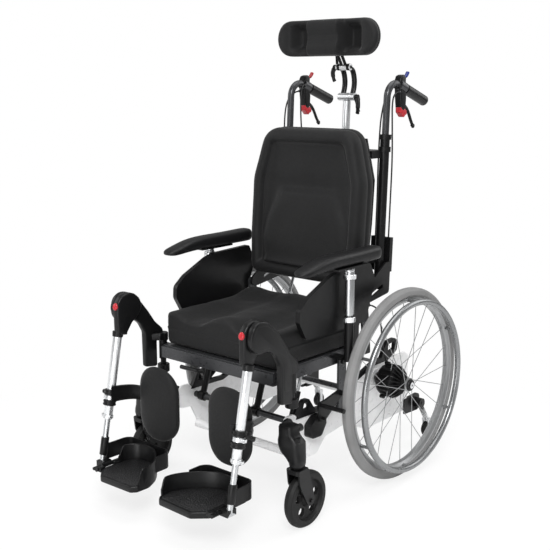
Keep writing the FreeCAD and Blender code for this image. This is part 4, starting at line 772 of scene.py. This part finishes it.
LEG_LEAN = math.radians(11.3)
LEG_WAY = Vector((0, -math.sin(LEG_LEAN), -math.cos(LEG_LEAN)))
LEG_X, LEG_Y, LEG_Z = 263, -653, 500
LEG_TOP = at(LEG_X, LEG_Y, LEG_Z)
CALF_RING_ALONG = 196
BAND_LINE = [at(246, -700, 322), at(246, -660, 318), at(238, -620, 312), at(214, -592, 304),
             at(180, -583, 300)]
BAND_SECTION = ((-3, -3, -1), (3, 3, -1), (4.5, 4.5, -0.8), (4.5, 4.5, 0.8), (3, 3, 1), (-3, -3, 1),
                (-4.5, -4.5, 0.8), (-4.5, -4.5, -0.8))
BLACK_RING = [(0, 13.6), (0, 17.5), (1.5, 19.5), (5, 19.5), (6, 18.3), (10, 18.3), (11, 19.5), (14.5, 19.5),
              (16, 17.5), (16, 13.2)]
KNOB = [(0, 5), (16, 5), (18, 7), (25, 7), (26, 5), (26, 0)]
CALF_PLATE = [(-2, 20), (0, 24), (8, 24), (11, 21), (12, 8), (12, 0)]


def leg_at(along):
    """A point on the leg tube's axis, in mm down from its top."""
    return LEG_TOP + LEG_WAY * (along * MM)


def along_leg(x, y, z):
    """How far down the leg a point in mm lies, and how far from the tube's axis."""
    step = Vector((x - LEG_X, y - LEG_Y, z - LEG_Z))
    along = step.dot(LEG_WAY)
    return along, (step - LEG_WAY * along).length


def leg_lug(form, along, height):
    """The screw lug of a clamp on the leg tube."""
    corners = ((12, -4), (25, -4), (25, 4), (12, 4))
    outline = [leg_at(along) + Vector((x * MM, y * MM, 0)) for x, y in corners]
    form.slab(outline, 0, height, LEG_WAY, round_edge=1.5)


def calf_bracket(word, side):
    """Two black rings and a knob on the tube, and a ribbed band that bends behind the calf pad."""
    form = Form()
    for offset in (-24, 8):
        form.turn(leg_at(CALF_RING_ALONG + offset), LEG_WAY, BLACK_RING, closed=True)
    form.turn(leg_at(187) + Vector((0.02, 0.004, 0)), (0.9, 0.3, -0.1), KNOB, 16)
    line = curve(BAND_LINE, 6)
    rings = []
    for k, p in enumerate(line):
        half = 24 - 4 * k / 24
        rings.append([p + Vector((x * MM, y * MM, z * half * MM)) for x, y, z in BAND_SECTION])
    form.loft(rings)
    for k in range(3, 20, 4):
        for lift in (-11, 11):
            start = line[k] + Vector((4 * MM, 4 * MM, lift * MM))
            end = line[k + 4] + Vector((4 * MM, 4 * MM, -lift * MM))
            form.tube([start, end], 1.8, 8)
    form.turn(at(176, -592, 298), Y_WAY, CALF_PLATE, 32)
    bracket = form.put("calf_bracket_" + word, "calf_" + word, PLASTIC, side)
    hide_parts("calf_pad_" + word)


def calf_ring(word, side):
    """The bright clamp between the two black rings."""
    form = Form()
    form.turn(leg_at(CALF_RING_ALONG), LEG_WAY, collar(6.5, 12.9, 17), closed=True)
    leg_lug(form, CALF_RING_ALONG - 5, 10)
    form.put("calf_ring_" + word, "calf_" + word, SILVER, side)


for word, side in SIDES:
    calf_bracket(word, side)
    calf_ring(word, side)

# Knee covers, leg tubes, hangers and release buttons

KNEE = [(-669, 560), (-668, 592), (-652, 612), (-626, 621), (-600, 614), (-580, 597), (-571, 573),
        (-585, 546), (-612, 526), (-631, 500), (-632, 492), (-668, 498), (-669, 522)]
KNEE_RADII = [30, 30, 30, 40, 30, 30, 40, 40, 30, 4, 4, 60, 60]
HANGER = [(-655, 604), (-632, 619), (-602, 616), (-562, 586), (-526, 542), (-500, 505), (-468, 476),
          (-466, 446), (-494, 442), (-494, 358), (-542, 366), (-544, 478), (-562, 510), (-592, 531),
          (-632, 528), (-658, 545), (-664, 575)]
HANGER_RADII = [30, 60, 60, 60, 60, 60, 20, 6, 4, 8, 8, 24, 40, 40, 40, 30, 30]
HANGER_FACE = [(-640, 606), (-600, 604), (-568, 577), (-538, 535), (-512, 496), (-500, 464), (-502, 400),
               (-532, 404), (-534, 480), (-552, 514), (-588, 540), (-634, 540), (-650, 556), (-652, 584)]
HANGER_FACE_RADII = [20, 40, 50, 50, 50, 20, 6, 6, 20, 40, 30, 30, 20, 20]
HANGER_SCREWS = ((-622, 573), (-582, 575), (-518, 452), (-518, 410))
SCREW = [(0, 5), (2, 5), (2.2, 4), (1.2, 3), (1.2, 0)]
SWING_PIN = [(0, 17), (2, 19), (24, 19), (26, 17), (26, 9), (102.5, 9), (102.5, 15), (104, 16.5), (126, 16.5),
             (128, 14), (128, 0)]
PIN_FOOT = [at(x, y, 470) for x, y in ((246, -485), (285, -506), (285, -520), (268, -520), (246, -500))]
BUTTON_TILT = math.radians(12)
BUTTON_LEVELS = ((0, 1.0), (6, 1.0), (8.5, 0.94), (10, 0.78), (10.6, 0.5), (10.8, 0.1))
BUTTON_HALF_WIDTH, BUTTON_HALF_HEIGHT = 9.4, 11


def knee_cover(word, side):
    """The round knee head over the tube's top, with its collar."""
    form = Form()
    form.slab(side_outline(KNEE, KNEE_RADII, 242.4), 0, 22.2, X_WAY, round_edge=6, steps=4)
    form.turn(leg_at(-4), LEG_WAY, [(0, 12), (0, 16.5), (4, 17), (14, 16), (16, 15.5), (16, 12)], 32)
    knee = form.put("knee_cover_" + word, "leg_" + word, PLASTIC, side)
    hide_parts("leg_tube_" + word)


def leg_tube(word, side):
    """The bright outer tube, and the clamp at its lower end."""
    turned("leg_tube_outer_" + word, "leg_" + word, SILVER, side, leg_at(6), LEG_WAY,
           [(0, 9.4), (0, 13.4), (255, 13.4), (256, 13), (256, 9.4)], 40, closed=True)
    form = Form()
    form.turn(leg_at(254), LEG_WAY, collar(5, 12.6, 16), closed=True)
    leg_lug(form, 250, 8)
    form.put("leg_clamp_" + word, "leg_" + word, SILVER, side)


def hanger_cover(word, side):
    """The curved hanger with its raised face and screws, and the pin that it swings on."""
    form = Form()
    form.slab(side_outline(HANGER, HANGER_RADII, 265.2), 0, 20.6, X_WAY, round_edge=6, steps=4)
    form.slab(side_outline(HANGER_FACE, HANGER_FACE_RADII, 284.5), 0, 1.8, X_WAY, round_edge=0.8)
    for y, z in HANGER_SCREWS:
        form.turn(at(284, y, z), X_WAY, SCREW, 20)
    form.turn(at(263, -473, 338), Z_WAY, SWING_PIN, 40)
    form.slab(PIN_FOOT, -24, 22, Z_WAY, round_edge=3)
    hanger = form.put("hanger_cover_" + word, "legrest_" + word, PLASTIC, side)
    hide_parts("hanger_" + word)


def knee_button(word, side):
    """The red button at the front of the knee head."""
    out = Vector((0, -math.cos(BUTTON_TILT), math.sin(BUTTON_TILT)))
    seat = at(253.5, -620, 573) + out * (43 * MM)
    up = out.cross(X_WAY)
    form = Form()
    rings = []
    for depth, share in BUTTON_LEVELS:
        rings.append([seat + out * (depth * MM) + X_WAY * (math.cos(a) * BUTTON_HALF_WIDTH * share * MM)
                      + up * (math.sin(a) * BUTTON_HALF_HEIGHT * share * MM)
                      for a in (2 * math.pi * k / 32 for k in range(32))])
    form.loft(rings)
    button = form.put("knee_button_" + word, "button_" + word, RED, side)
    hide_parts("release_button_" + word)


for word, side in SIDES:
    knee_cover(word, side)
    leg_tube(word, side)
    hanger_cover(word, side)
    knee_button(word, side)

# Arm posts: wide grey tube with two bright clamps

ARM_X, ARM_Y = 285, -236


def arm_lug(form, front, rear, z):
    """The screw lug of a clamp on the arm post."""
    form.slab(top_outline([(280, front), (290, front), (290, rear), (280, rear)], 1, z), 0, 14, Z_WAY)


for word, side in SIDES:
    turned("arm_tube_" + word, "armrest_" + word, STEEL, side, at(ARM_X, ARM_Y, 566), Z_WAY,
           [(0, 10), (0, 14.2), (126, 14.2), (128, 13.4), (128, 10)], 40, closed=True)
    form = Form()
    form.turn(at(ARM_X, ARM_Y, 680), Z_WAY, collar(7, 14.4, 19), closed=True)
    arm_lug(form, -256, -248, 673)
    form.put("arm_clamp_high_" + word, "armrest_" + word, CHROME, side)
    form = Form()
    form.turn(at(ARM_X, ARM_Y, 552), Z_WAY, collar(8, 15.2, 18.5), closed=True)
    arm_lug(form, -259, -250, 545)
    form.put("arm_clamp_low_" + word, "seat", CHROME, side)

# Push handle housings with their red tabs, grips and levers

HOUSING = [(124, 1240), (132, 1254), (147, 1258), (158, 1249), (156, 1226), (161, 1186), (159, 1154),
           (147, 1145), (134, 1152), (128, 1190)]
HOUSING_RADII = [6, 6, 6, 6, 20, 20, 6, 5, 6, 20]
HOUSING_BOLT = [(0, 0), (0, 5), (1.5, 5.6), (22.5, 5.6), (24, 5), (24, 0)]
TAB = [(133, 1158), (150, 1156), (166, 1146), (168, 1134), (158, 1130), (152, 1124), (144, 1132), (134, 1140)]
HANDLE_X = 194
GRIP_END = at(HANDLE_X, 280, 1175)
GRIP_SLOPE = math.radians(19)
GRIP_WAY = Vector((0, -math.cos(GRIP_SLOPE), math.sin(GRIP_SLOPE)))
GRIP_RIBS = 11
PILL_LINE = [at(HANDLE_X, y, z) for y, z in ((150, 1244), (162, 1247), (174, 1254), (184, 1266))]
PILL_RADII = [4.5] * 4 + [5.2] * 6 + [6.6] * 8 + [3.6]
LEVER_LINE = [at(HANDLE_X, y, z)
              for y, z in ((150, 1164), (172, 1158), (192, 1138), (208, 1112), (220, 1096))]
LEVER_RADII = [6.5] * 8 + [6] * 8 + [5.4] * 14 + [7.4] * 3
LEVER_TIP = [(-6, 0), (-5, 3.6), (-2, 5.6), (2, 5.6), (5, 3.6), (6, 0)]


def handle_housing(word, side):
    """The housing that holds the levers, with its bolt."""
    form = Form()
    form.slab(side_outline(HOUSING, HOUSING_RADII, 181), 0, 26, X_WAY, round_edge=5, steps=4)
    form.turn(at(182, 138, 1196), X_WAY, HOUSING_BOLT, 24)
    form.put("handle_housing_" + word, "handle_" + word, PLASTIC, side)


def handle_tab(word, side):
    """The red lock tab below the housing."""
    form = Form()
    form.slab(side_outline(TAB, 2.5, 183), 0, 22, X_WAY, round_edge=2)
    form.put("handle_tab_" + word, "handle_" + word, RED, side)


def grip(word, side):
    """The ribbed grip with a thicker end."""
    profile = [(-4, 0), (-4, 12), (-2, 15.8), (3, 16.8), (6, 16.4), (9, 14.8)]
    for k in range(GRIP_RIBS):
        profile += [(12 + 9 * k, 14.0), (14 + 9 * k, 14.8), (19 + 9 * k, 14.8), (20.5 + 9 * k, 14.0)]
    profile += [(112, 14.2), (115, 15.6), (118, 15.4), (119, 12)]
    turned("grip_" + word, "handle_" + word, FOAM_SKIN, side, GRIP_END, GRIP_WAY, profile,
           48)


def release_pill(word, side):
    """The coloured release lever on top: blue on the chair's left, red on its right."""
    slot_name, finish = ("blue_plastic", BLUE) if side > 0 else ("red_plastic", RED)
    form = Form()
    form.tube(curve(PILL_LINE, 6), PILL_RADII, 20, flat=0.75, up=X_WAY)
    lever = form.put("release_pill_" + word, "trigger_" + word, finish, side, sharp=180)
    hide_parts("release_lever_" + word)


def brake_lever(word, side):
    """The curved brake lever with a ball at its end."""
    form = Form()
    form.tube(curve(LEVER_LINE, 8), LEVER_RADII, 16, flat=0.8, up=X_WAY)
    lever = form.put("brake_lever_curve_" + word, "brake_" + word, PLASTIC, side)
    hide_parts("brake_lever_" + word)
    form = Form()
    form.turn(at(HANDLE_X, 221, 1094), (0, 0.4, -0.9), LEVER_TIP, 20)
    form.put("brake_tip_" + word, "brake_" + word, PLASTIC, side, sharp=180)


for word, side in SIDES:
    handle_housing(word, side)
    handle_tab(word, side)
    grip(word, side)
    release_pill(word, side)
    brake_lever(word, side)

# Headrest joints: two bent bars between bright barrels, each with a clamp lever

LINK_HIGH = (106, 1282)
LINK_LOW = (125, 1187)
LINK_LINE = (LINK_HIGH, (126, 1271), (136, 1244), (135, 1217), LINK_LOW)
LINK_HALF_GAP = 19
LOW_BARREL = [(0, 0), (0, 11.4), (1, 12.6), (65, 12.6), (66, 11.4), (66, 0)]
LEVER_HEAD = [(0, 0), (0, 7), (1, 8), (12, 8), (14, 6), (14, 0)]
HANDLE_RADII = [9] * 6 + [8] * 8 + [6.4] * 6 + [6.8] * 4 + [4.4]


def headrest_bars():
    """Two bent bars with a round eye at each end."""
    form = Form()
    for side in (1, -1):
        line = curve([at(side * LINK_HALF_GAP, y, z) for y, z in LINK_LINE], 10)
        form.tube(line, 9.4, 20, flat=0.75, up=X_WAY)
        for y, z in (LINK_HIGH, LINK_LOW):
            form.turn(at(side * LINK_HALF_GAP - 6, y, z), X_WAY, rod(12, 11), 32)
    link = form.put("headrest_bars", "headrest_arm", PLASTIC)
    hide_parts("headrest_link")


def clamp_lever(name, body, pivot, way, drop):
    """A black clamp lever: a round head, and a handle that hangs from it and ends in a small flare."""
    form = Form()
    form.turn(pivot, way, LEVER_HEAD, 24)
    start = pivot + Vector(way) * (8 * MM)
    line = curve([start, start + Vector((way[0] * 0.006, -0.004, -drop * 0.35 * MM)),
                  start + Vector((way[0] * 0.004, -0.002, -drop * 0.8 * MM)),
                  start + Vector((way[0] * 0.001, 0.001, -drop * MM))], 8)
    form.tube(line, HANDLE_RADII, 16, flat=0.7, up=X_WAY)
    form.put(name, body, PLASTIC)


headrest_bars()
turned("headrest_barrel_high", "headrest_arm", SILVER, 1, at(-30, *LINK_HIGH), X_WAY,
       rod(57, 10.4), 32)
turned("headrest_barrel_low", "headrest_mast", SILVER, 1, at(-33, *LINK_LOW), X_WAY,
       LOW_BARREL, 36)
clamp_lever("headrest_lever_high", "headrest_arm", at(-29, *LINK_HIGH), (-1, 0, 0), 46)
clamp_lever("headrest_lever_low", "headrest_mast", at(32, *LINK_LOW), (1, 0, 0), 54)

# Footplates: a tray with a studded tread and a rounded wall behind the heel

TRAY = [(46, -782), (60, -798), (185, -802), (226, -764), (223, -668), (196, -639), (150, -633), (108, -652),
        (66, -694), (44, -738)]
TRAY_RADII = [10, 14, 16, 16, 20, 30, 60, 60, 60, 40]
TREAD_RADIUS = 8
WALL_LINE = [at(x, y, 0)
             for x, y in ((45, -776), (44, -738), (66, -694), (108, -652), (150, -634), (196, -640),
                          (222, -668), (226, -700))]
WALL_FOOT, WALL_TOP, WALL_DROP, WALL_THICK, WALL_EDGE, WALL_CORNER = 100, 162, 30, 4.8, 1.2, 2
HINGE_PLACES = (-765, -700)
HINGE_EYE = [(-13, 0), (-13, 7), (-12, 7.5), (12, 7.5), (13, 7), (13, 0)]


def heel_wall(form):
    """The wall along the tray's inner and rear edge, lower towards both ends."""
    line = curve(WALL_LINE, 8)
    last = len(line) - 1
    rings = []
    for k, p in enumerate(line):
        ahead = (line[min(k + 1, last)] - line[max(k - 1, 0)]).normalized()
        inward = Vector((ahead.y, -ahead.x, 0))
        top = WALL_TOP - WALL_DROP * (blend_value(4 - k, 0, 4) + blend_value(k, last - 6, last))
        section = ((0, WALL_FOOT), (0, top - WALL_CORNER), (WALL_EDGE, top), (WALL_THICK - WALL_EDGE, top),
                   (WALL_THICK, top - WALL_CORNER), (WALL_THICK, WALL_FOOT))
        rings.append([p + inward * (across * MM) + Z_WAY * (height * MM) for across, height in section])
    form.loft(rings)


def foot_tray(word, side):
    """The tray with its heel wall and the two eyes of its hinge."""
    form = Form()
    form.slab(top_outline(TRAY, TRAY_RADII, 95), 0, 19, Z_WAY, round_edge=4, steps=4)
    heel_wall(form)
    for y in HINGE_PLACES:
        form.turn(at(234, y, 112), Y_WAY, HINGE_EYE, 24)
        arm = [at(218, y - 9, 105), at(234, y - 9, 105), at(234, y + 9, 105), at(218, y + 9, 105)]
        form.slab(arm, 0, 14, Z_WAY, round_edge=2)
    tray = form.put("foot_tray_" + word, "plate_" + word, PLASTIC, side, sharp=38)
    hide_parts("footplate_" + word)


def foot_tread(word, side):
    """The studded mat on the tray."""
    outline = top_outline(inset(TRAY, 9), TREAD_RADIUS, 113.2)
    form = Form()
    form.slab(outline, 0, 1.6, Z_WAY, round_edge=0.6)
    form.put("tread_" + word, "plate_" + word, TREAD, side)


def foot_sleeve(word, side):
    """The black sleeve low on the foot tube."""
    profile = [(0, 9), (0, 11.6), (1, 12), (50, 12), (51, 11.6), (51, 9)]
    turned("foot_sleeve_" + word, "foot_" + word, PLASTIC, side, leg_at(320), LEG_WAY,
           profile, 32, closed=True)


for word, side in SIDES:
    foot_tray(word, side)
    foot_tread(word, side)
    foot_sleeve(word, side)

# Wheels: drum fins and hub caps

WHEEL_HEIGHT = 305
FIN_COUNT = 20
FIN_THICK = 3.2
FIN = [(268, 44), (268, 53), (300, 53), (318, 40), (330, 22), (330, 14), (300, 30)]
BOLT_COUNT = 5
BOLT_CIRCLE = 56
HUB_RING = [(0, 12), (0, 17), (2, 19), (10, 19), (13, 17), (14, 13), (14, 11)]
HUB_CAP = [(0, 11), (9, 11), (10.5, 9.5), (10.5, 4), (9.5, 3), (9.5, 0)]


def drum_fins(word, side):
    """The drum's cooling fins, and the bolts round it."""
    form = Form()
    for k in range(FIN_COUNT):
        angle = 2 * math.pi * k / FIN_COUNT
        out = Vector((0, math.cos(angle), math.sin(angle)))
        across = Vector((0, -math.sin(angle), math.cos(angle)))
        flat = [at(x, 0, WHEEL_HEIGHT) + out * (r * MM) - across * (FIN_THICK / 2 * MM) for x, r in FIN]
        form.slab(flat, 0, FIN_THICK, across, round_edge=0.6)
    for k in range(BOLT_COUNT):
        angle = 2 * math.pi * (k + 0.3) / BOLT_COUNT
        out = Vector((0, math.cos(angle), math.sin(angle)))
        form.turn(at(262, 0, WHEEL_HEIGHT) + out * (BOLT_CIRCLE * MM), X_WAY,
                  [(0, 6), (14, 6), (16, 4.5), (16, 0)], 16)
    form.put("drum_fins_" + word, "drive_wheel_" + word, PLASTIC, side)


for word, side in SIDES:
    drum_fins(word, side)
    turned("hub_ring_" + word, "drive_wheel_" + word, SHINY_PLASTIC, side,
           at(344, 0, WHEEL_HEIGHT), X_WAY, HUB_RING, 40)
    turned("hub_cap_" + word, "drive_wheel_" + word, SILVER, side,
           at(350, 0, WHEEL_HEIGHT), X_WAY, HUB_CAP, 32)

# Caster housings: a cup over the fork that swings inwards and up to the side plate

# Each level is its height, its middle (x, y), its half widths and how square its ring is.
CUP_LEVELS = [(187, 320, -516, 16, 17, 2.6), (190, 320, -516, 19, 20, 2.8), (202, 320, -516, 21, 22, 3.0),
              (214, 314, -515, 26, 23, 3.4), (228, 302, -513, 34, 25, 4.0), (245, 297, -512, 37, 26, 4.4),
              (260, 296, -512, 37, 26, 4.4), (272, 289, -511, 29, 24, 4.0), (284, 285, -511, 25, 23, 4.0),
              (298, 285, -511, 25, 23, 4.2), (304, 285, -511, 23, 21, 4.0), (306, 285, -511, 19, 17, 3.6)]
CUP_MIDDLE = at(283, -505, 280)
PLATE_END = at(229, -452, 268)
HOUSING_ARM = [(0, 15), (74, 15), (75, 14), (75, 0)]
PLATE_BOSS = [(0, 0), (0, 20), (2, 22), (10, 22), (13, 19), (13, 0)]
REAR_CAP = [(-8, 11), (10, 11), (12, 9.5), (12, 4), (10.5, 3), (10.5, 0)]


def square_ring(z, x, y, half_x, half_y, power):
    """A ring between an ellipse and a rectangle."""
    ring = []
    for k in range(40):
        angle = 2 * math.pi * k / 40
        c, s = math.cos(angle), math.sin(angle)
        ring.append(at(x + math.copysign(abs(c) ** (2 / power), c) * half_x,
                       y + math.copysign(abs(s) ** (2 / power), s) * half_y, z))
    return ring


for word, side in SIDES:
    form = Form()
    form.loft([square_ring(*level) for level in CUP_LEVELS])
    form.turn(CUP_MIDDLE, PLATE_END - CUP_MIDDLE, HOUSING_ARM, 32)
    form.turn(at(226, -455, 270), X_WAY, PLATE_BOSS, 36)
    form.turn(at(300, -488, 290), Y_WAY, REAR_CAP, 28)
    housing = form.put("caster_housing_" + word, "base", PLASTIC, side, sharp=38)
    if side > 0:
        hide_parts("caster_housings")

# Cables: each line bends smoothly through the points of its route

CABLE_RADIUS = 2.5
BRAKE_ROUTE = [at(202, 120.5, 1204), at(204, 96, 1201), at(213, 70, 1172), at(219, 64, 1110),
               at(220, 68, 1000), at(210, 77.35, 870), at(210, 67.36, 650)]
RELEASE_ROUTE = [at(180, 123.5, 1225), at(177, 102, 1222), at(164, 84, 1140), at(158, 84, 1060),
                 at(158, 80, 960), at(160, 77.35, 870), at(160, 67.36, 650)]
DRUM_ROUTE = [at(252.5, 11.4, 361), at(256, -3, 393), at(262, -26, 426), at(262, -36, 500),
              at(263.2, -59.3, 557), at(239.2, -75.3, 558.7)]


def cable(name, points, side):
    """A cable along its route: one smooth NURBS line with a skin."""
    data = bpy.data.curves.new(name, "CURVE")
    data.dimensions = "3D"
    line = data.splines.new("NURBS")
    line.points.add(len(points) - 1)
    for point, place in zip(line.points, points):
        point.co = (place.x * side, place.y, place.z, 1)
    line.order_u = 3
    line.use_endpoint_u = True
    line.resolution_u = 12
    data.bevel_depth = CABLE_RADIUS * MM
    data.bevel_resolution = 4
    data.use_fill_caps = True
    data.materials.append(CABLE)
    return placed(name, data)


def handle_cable(name, word, points, side):
    """A cable that rides with the push handle."""
    item = cable(name + word, points, side)
    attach(item, "handle_" + word)
    return item


def drum_line(word, side):
    """The drum brake's cable, which bends between the base and the seat."""
    line = cable("drum_line_" + word, DRUM_ROUTE, side)
    bpy.context.view_layer.update()
    skin = bpy.data.meshes.new_from_object(line.evaluated_get(bpy.context.evaluated_depsgraph_get()))
    bpy.data.objects.remove(line)
    item = placed("drum_cable_" + word, skin)
    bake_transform(item)
    if side > 0:
        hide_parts("drum_cables")


for word, side in SIDES:
    first = handle_cable("brake_cable_", word, BRAKE_ROUTE, side)
    handle_cable("release_cable_", word, RELEASE_ROUTE, side)
    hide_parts("handle_cables_" + word)
    drum_line(word, side)

# Finishes of parts within one CAD node, in mm

GRIP_FROM = 160
FOOT_TUBE_RADIUS = 9.4
FOOT_BRACKET_RADIUS = 12.6

for word, side in SIDES:
    paint("foot_tube_" + word, (PLASTIC, lambda x, y, z: along_leg(x, y, z)[1] > FOOT_BRACKET_RADIUS),
          (PLASTIC, lambda x, y, z: along_leg(x, y, z)[0] > 318 and along_leg(x, y, z)[1] > FOOT_TUBE_RADIUS))
    paint("wheel_" + word, (PLASTIC, lambda x, y, z: math.hypot(y, z - WHEEL_HEIGHT) < 60 and x < 342))
    paint("anti_tip_arm_" + word, (PLASTIC, lambda x, y, z: z > 118))
    paint("push_handle_" + word, (GREY_PAINT, lambda x, y, z: y < GRIP_FROM),
          (PLASTIC, lambda x, y, z: y >= GRIP_FROM))
    paint("arm_post_" + word, (PLASTIC, lambda x, y, z: z > 700), (GREY_PAINT, lambda x, y, z: z < 560))
paint("headrest_post", (PLASTIC, lambda x, y, z: x > 32.2 or (x > 22 and z < 1172)))
paint("headrest_bracket", (SILVER, lambda x, y, z: z < 1293 and x < 22 and abs(y - LINK_HIGH[0]) < 12))
paint("base_tubes", (WHITE_PAINT, lambda x, y, z: z < 200))
paint("seat_frame", (PLASTIC, lambda x, y, z: x > 240 or y > -80))

KEEP_EDGES = ("wheel_", "handrim_", "tyre_", "handle_cables", "drum_cables")
for name, item in frame["nodes"].items():
    if not item.hide_render and not name.startswith(KEEP_EDGES):
        ease_edges(name)


# Floor and light

FLOOR_REACH = 30.0
FLOOR_SHADE = 0.9
FADE_START, FADE_END = 0.55, 1.3
FLOOR_WHITE = 0.78
WORLD_FILL = 0.38
CHAIR_MIDDLE = at(0, -200, 600)


def camera_mix(tree, seen, unseen, share=None):
    """One shader for the camera's own rays, or a share of it, and another for everything else."""
    direct = tree.nodes.new("ShaderNodeLightPath").outputs["Is Camera Ray"]
    if share is not None:
        direct = math_of(tree, "MULTIPLY", direct, share).outputs[0]
    return node_of(tree, "MixShader", {}, {0: direct, 1: unseen.outputs[0], 2: seen.outputs[0]}).outputs[0]


def make_floor():
    """A white floor that keeps the chair's soft shadow near it and fades to white for the camera."""
    mesh = bpy.data.meshes.new("floor")
    corners = [(x * FLOOR_REACH, y * FLOOR_REACH, 0) for x, y in ((-1, -1), (1, -1), (1, 1), (-1, 1))]
    mesh.from_pydata(corners, [], [(0, 1, 2, 3)])
    floor = placed("floor", mesh)
    made = bpy.data.materials.new("white_floor")
    tree = empty_nodes(made)
    diffuse = node_of(tree, "BsdfDiffuse", {"Color": (FLOOR_SHADE, FLOOR_SHADE, FLOOR_SHADE, 1)}, {})
    white = node_of(tree, "Emission", {"Color": (1, 1, 1, 1)}, {})
    where = tree.nodes.new("ShaderNodeTexCoord").outputs["Object"]
    reach = math_of(tree, "LENGTH", where, kind="VectorMath")
    limits = {"From Min": FADE_START, "From Max": FADE_END, "To Min": FLOOR_WHITE, "To Max": 1.0}
    fade = node_of(tree, "MapRange", limits, {"Value": reach.outputs["Value"]})
    fade.interpolation_type = "SMOOTHSTEP"
    node_of(tree, "OutputMaterial", {}, {0: camera_mix(tree, white, diffuse, fade.outputs[0])})
    mesh.materials.append(made)


def make_world():
    """White to the camera, and a softer white fill light for everything else."""
    world = bpy.data.worlds.new("world")
    bpy.context.scene.world = world
    tree = empty_nodes(world)
    white = node_of(tree, "Background", {"Strength": 1.0, "Color": (1, 1, 1, 1)}, {})
    fill = node_of(tree, "Background", {"Strength": WORLD_FILL, "Color": (1, 1, 1, 1)}, {})
    node_of(tree, "OutputWorld", {}, {0: camera_mix(tree, white, fill)})


def area_light(name, offset, size, power, target=CHAIR_MIDDLE):
    """A square light at an offset in metres from the chair's middle, turned to its target."""
    data = bpy.data.lights.new(name, "AREA")
    data.shape = "SQUARE"
    data.size = size
    data.energy = power
    item = placed(name, data)
    item.location = CHAIR_MIDDLE + Vector(offset)
    item.rotation_mode = "QUATERNION"
    item.rotation_quaternion = (item.location - target).to_track_quat("Z", "Y")


make_floor()
make_world()
area_light("key", (2.2, -2.6, 2.8), 1.6, 135)
area_light("low_front", (1.0, -3.4, -0.1), 1.6, 36, CHAIR_MIDDLE - Z_WAY * 0.3)
area_light("left_fill", (-3.2, -2.0, 1.6), 2.6, 45)
area_light("top", (0.2, 0.4, 3.4), 3.0, 70)
area_light("rear", (1.6, 3.2, 2.0), 2.4, 40)
